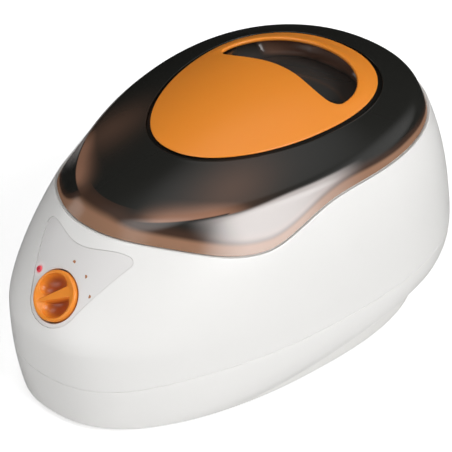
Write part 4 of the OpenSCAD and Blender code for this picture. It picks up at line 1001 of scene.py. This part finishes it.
def lensColor(nodes):
    # deep red over the lamp and paler towards the lens's edge, where the lamp's glow is painted
    return byLamp(nodes, 4, [(0.30, (0.33, 0.004, 0.02)), (0.55, (0.86, 0.10, 0.13)),
                             (0.9, (0.93, 0.62, 0.62))])


def knobColor(nodes):
    # a deeper, darker orange towards the floor of the scoops: painted shade
    return byPaint(nodes, "scoopShade", [(0.0, orangeBase), (1.0, (0.42, 0.085, 0.018))])


def lidColor(nodes):
    # near black on the dome; warmer and paler towards the rim and by the crease in painted light where light
    # comes through, with painted shade where the rim band narrows
    tone = byPaint(nodes, "rimBand", [(0.0, (0.31, 0.175, 0.11)), (0.20, (0.33, 0.18, 0.112)),
                                      (0.34, (0.06, 0.034, 0.024)), (0.60, (0.019, 0.019, 0.017))], "EASE")
    for name, color in (("warmTone", (0.33, 0.16, 0.098)), ("paleTone", (0.50, 0.455, 0.44))):
        glow = byPaint(nodes, name, [(0.0, (0, 0, 0)), (1.0, color)])
        tone = newNode(nodes, "VectorMath", "ADD", in0=tone, in1=glow).outputs["Vector"]
    return tone


tubWhite = mouldedMaterial("tubWhite", white, 0.30, drift=0.02, sockets={"IOR": 1.46})
panelWhite = mouldedMaterial("panelWhite", white, 0.32, drift=0.02, sockets={"IOR": 1.46},
                             colorNode=panelColor)
# the plinth is greyer than the tub: painted shade under the tub's overhang
plinthShadedWhite = mouldedMaterial("plinthShadedWhite", (0.80, 0.79, 0.77), 0.45, grainSize=1400, bump=0.15)
smoked = mouldedMaterial("smokedPlastic", (0.02, 0.015, 0.012), 0.13, drift=0.05, grainSize=700, bump=0.012,
                         sockets={"IOR": 1.45}, colorNode=lidColor)
softGlow = {"IOR": 1.46, "Subsurface Weight": 0.08, "Subsurface Radius": (0.004, 0.0015, 0.0005)}
orange = mouldedMaterial("orangePlastic", orangeBase, 0.30, sockets=softGlow)
knobOrange = mouldedMaterial("knobOrange", orangeBase, 0.30, sockets=softGlow, colorNode=knobColor)
drawnSheet = workedMaterial("drawnSheet", (0.80, 0.81, 0.82), (0.62, 0.63, 0.65), 0.26, metal=1.0,
                            stretch=(1, 1, 0.12), scale=260, cloudScale=24, cloudShare=0.35,
                            change=0.14, bump=0.25)
for piece, material in ((tubUpper, tubWhite), (tubLower, tubWhite), (rimCollar, tubWhite),
                        (tankPiece, drawnSheet), (controlPanel, panelWhite), (plinthPiece, plinthShadedWhite),
                        (lidPiece, smoked), (handlePlate, orange), (knobPiece, knobOrange)):
    piece.data.materials.clear()
    piece.data.materials.append(material)

rolledSheet = workedMaterial("rolledSheet", (0.78, 0.79, 0.80), (0.60, 0.61, 0.63), 0.28, metal=1.0,
                             stretch=(1, 0.05, 1), scale=700, cloudScale=40, cloudShare=0.35,
                             change=0.14, bump=0.2)
zincPlate = workedMaterial("zincPlate", (0.66, 0.68, 0.70), (0.46, 0.47, 0.46), 0.30, metal=1.0,
                           scale=900, cloudScale=240, cloudShare=0.6, change=0.18, bump=0.12)
plainBrass = workedMaterial("plainBrass", (0.76, 0.58, 0.27), (0.55, 0.38, 0.15), 0.27, metal=1.0,
                            stretch=(1, 0.2, 1), scale=900, cloudScale=220, change=0.16, bump=0.1)
drawnCopper = workedMaterial("drawnCopper", (0.80, 0.44, 0.28), (0.52, 0.24, 0.14), 0.28, metal=1.0,
                             stretch=(1, 1, 0.3), scale=800, cloudScale=160, cloudShare=0.6,
                             change=0.16, bump=0.1)
needledFelt = workedMaterial("needledFelt", (0.74, 0.69, 0.55), (0.52, 0.47, 0.35), 0.92, stretch=(1, 1, 2.6),
                             scale=900, cloudScale=90, cloudShare=0.35, change=0.0, bump=1.0,
                             sockets={"Sheen Weight": 0.25, "Sheen Roughness": 0.5})
heaterSkin = workedMaterial("heaterSilicone", (0.50, 0.115, 0.045), (0.33, 0.065, 0.03), 0.62,
                            stretch=(1, 0.15, 1), scale=1100, cloudScale=50, cloudShare=0.4, bump=0.5)
rubber = workedMaterial("footRubber", (0.030, 0.030, 0.031), (0.055, 0.054, 0.052), 0.74, scale=1300,
                        cloudScale=120, cloudShare=0.4, bump=0.6)
satinBlack = mouldedMaterial("satinBlack", (0.022, 0.022, 0.025), 0.38, drift=0.2, grainSize=1500, bump=0.25)
ivoryBlock = mouldedMaterial("ivoryBlock", (0.76, 0.71, 0.58), 0.42, drift=0.08, grainSize=1200, bump=0.12)
markPrint = workedMaterial("markPrint", (0.42, 0.17, 0.075), (0.52, 0.24, 0.11), 0.45, scale=2600,
                           cloudScale=700, change=0.08, bump=0.2)
greySleeve = workedMaterial("greySleeve", (0.075, 0.077, 0.083), (0.11, 0.11, 0.12), 0.46)
redSleeve = workedMaterial("redSleeve", (0.42, 0.035, 0.022), (0.30, 0.022, 0.016), 0.48)
lensGlow = {"IOR": 1.49, "Emission Color": (1.0, 0.06, 0.10, 1), "Emission Strength": 0.12}
redLens = mouldedMaterial("redLens", (0.80, 0.03, 0.04), 0.16, drift=0.1, grainSize=2500, bump=0.05,
                          sockets=lensGlow, colorNode=lensColor)
finishOfSlot = {
    "white_plastic": tubWhite, "plinth_plastic": plinthShadedWhite, "smoked_plastic": smoked,
    "orange_plastic": orange, "foot_rubber": rubber, "zinc_steel": zincPlate, "tank_aluminium": rolledSheet,
    "heater_silicone": heaterSkin, "insulation_felt": needledFelt, "brass_metal": plainBrass,
    "copper_tube": drawnCopper, "black_plastic": satinBlack, "block_plastic": ivoryBlock, "red_lens": redLens,
    "mark_print": markPrint, "mains_insulation": greySleeve, "wire_insulation": redSleeve,
}
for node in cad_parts.values():
    for cadSlot in node.material_slots:
        cadSlot.material = finishOfSlot[cadSlot.material.name.split(".")[0]]
print("stage: materials done")

# floor, light and camera; a panel has its azimuth, elevation and half width in degrees, and its strength
studio = {
    "floorSize": 14, "floorTone": 0.86, "glossTone": 0.015, "floorGlow": 0.55,
    "panels": [(0, 72, 22, 3.3), (0, 5, 40, 2.15), (-155, 68, 22, 0.75), (-90, 70, 22, 0.3),
               (95, 31, 23, 7.8), (-74, 23, 14, 1.5), (142, 32, 38, 0.85)],
}
deselectAll()
bpy.ops.mesh.primitive_plane_add(size=studio["floorSize"], location=(0, 0, 0))
floor = bpy.context.object
floor.name = "floor"
floorMaterial = bpy.data.materials.new("paleFloor")
floorMaterial.use_nodes = True
nodes = floorMaterial.node_tree.nodes
nodes.clear()
rays = newNode(nodes, "LightPath").outputs
matt = newNode(nodes, "BsdfDiffuse", Color=(*[studio["floorTone"]] * 3, 1)).outputs[0]
dim = newNode(nodes, "BsdfDiffuse", Color=(*[studio["glossTone"]] * 3, 1)).outputs[0]
lit = newNode(nodes, "Emission", Strength=studio["floorGlow"]).outputs[0]
# gloss on the object shows a dark floor, and the camera sees a lit one
forGloss = newNode(nodes, "MixShader", Fac=rays["Is Glossy Ray"], in1=matt, in2=dim).outputs[0]
glowing = newNode(nodes, "AddShader", in0=matt, in1=lit).outputs[0]
forCamera = newNode(nodes, "MixShader", Fac=rays["Is Camera Ray"], in1=forGloss, in2=glowing).outputs[0]
newNode(nodes, "OutputMaterial", Surface=forCamera)
floor.data.materials.append(floorMaterial)


def studioWay(azimuth, elevation):
    a, e = math.radians(azimuth), math.radians(elevation)
    return Vector((math.sin(a) * math.cos(e), -math.cos(a) * math.cos(e), math.sin(e)))


# the sky is a dark studio with soft round panels; the camera, and clear plastic, see a white backdrop
world = bpy.data.worlds.new("studio")
bpy.context.scene.world = world
world.use_nodes = True
nodes = world.node_tree.nodes
way = newNode(nodes, "TexCoord").outputs["Generated"]
total = 0.0
for azimuth, elevation, halfWidth, strength in studio["panels"]:
    facing = newNode(nodes, "VectorMath", "DOT_PRODUCT", in0=way, in1=studioWay(azimuth, elevation))
    soft = newNode(nodes, "MapRange", **{"Value": facing.outputs["Value"], "To Max": strength,
                                         "From Min": math.cos(math.radians(halfWidth))})
    soft.interpolation_type = "SMOOTHSTEP"
    total = newNode(nodes, "Math", "ADD", in0=soft.outputs["Result"], in1=total).outputs[0]
rays = newNode(nodes, "LightPath").outputs
seen = newNode(nodes, "Math", "MAXIMUM", in0=rays["Is Camera Ray"], in1=rays["Is Transmission Ray"])
level = newNode(nodes, "Mix", in0=seen.outputs[0], in2=total, in3=1.0)
feed(nodes["Background"], {"Color": (1, 1, 1, 1), "Strength": level.outputs[0]})

cameraFit = {"azimuth": 42.154, "elevation": 34.075, "distance": 1.64196, "lens": 180.33,
             "target": (0.006469, -0.008963, 0.077174)}
back = studioWay(cameraFit["azimuth"], cameraFit["elevation"])
lens = bpy.data.cameras.new("camera")
lens.sensor_width = 36
lens.lens = cameraFit["lens"]
camera = bpy.data.objects.new("camera", lens)
bpy.context.collection.objects.link(camera)
camera.location = Vector(cameraFit["target"]) + back * cameraFit["distance"]
camera.rotation_euler = back.to_track_quat("Z", "Y").to_euler()
bpy.context.scene.camera = camera
bpy.context.scene.view_settings.view_transform = "Standard"
print("stage: light and camera done")
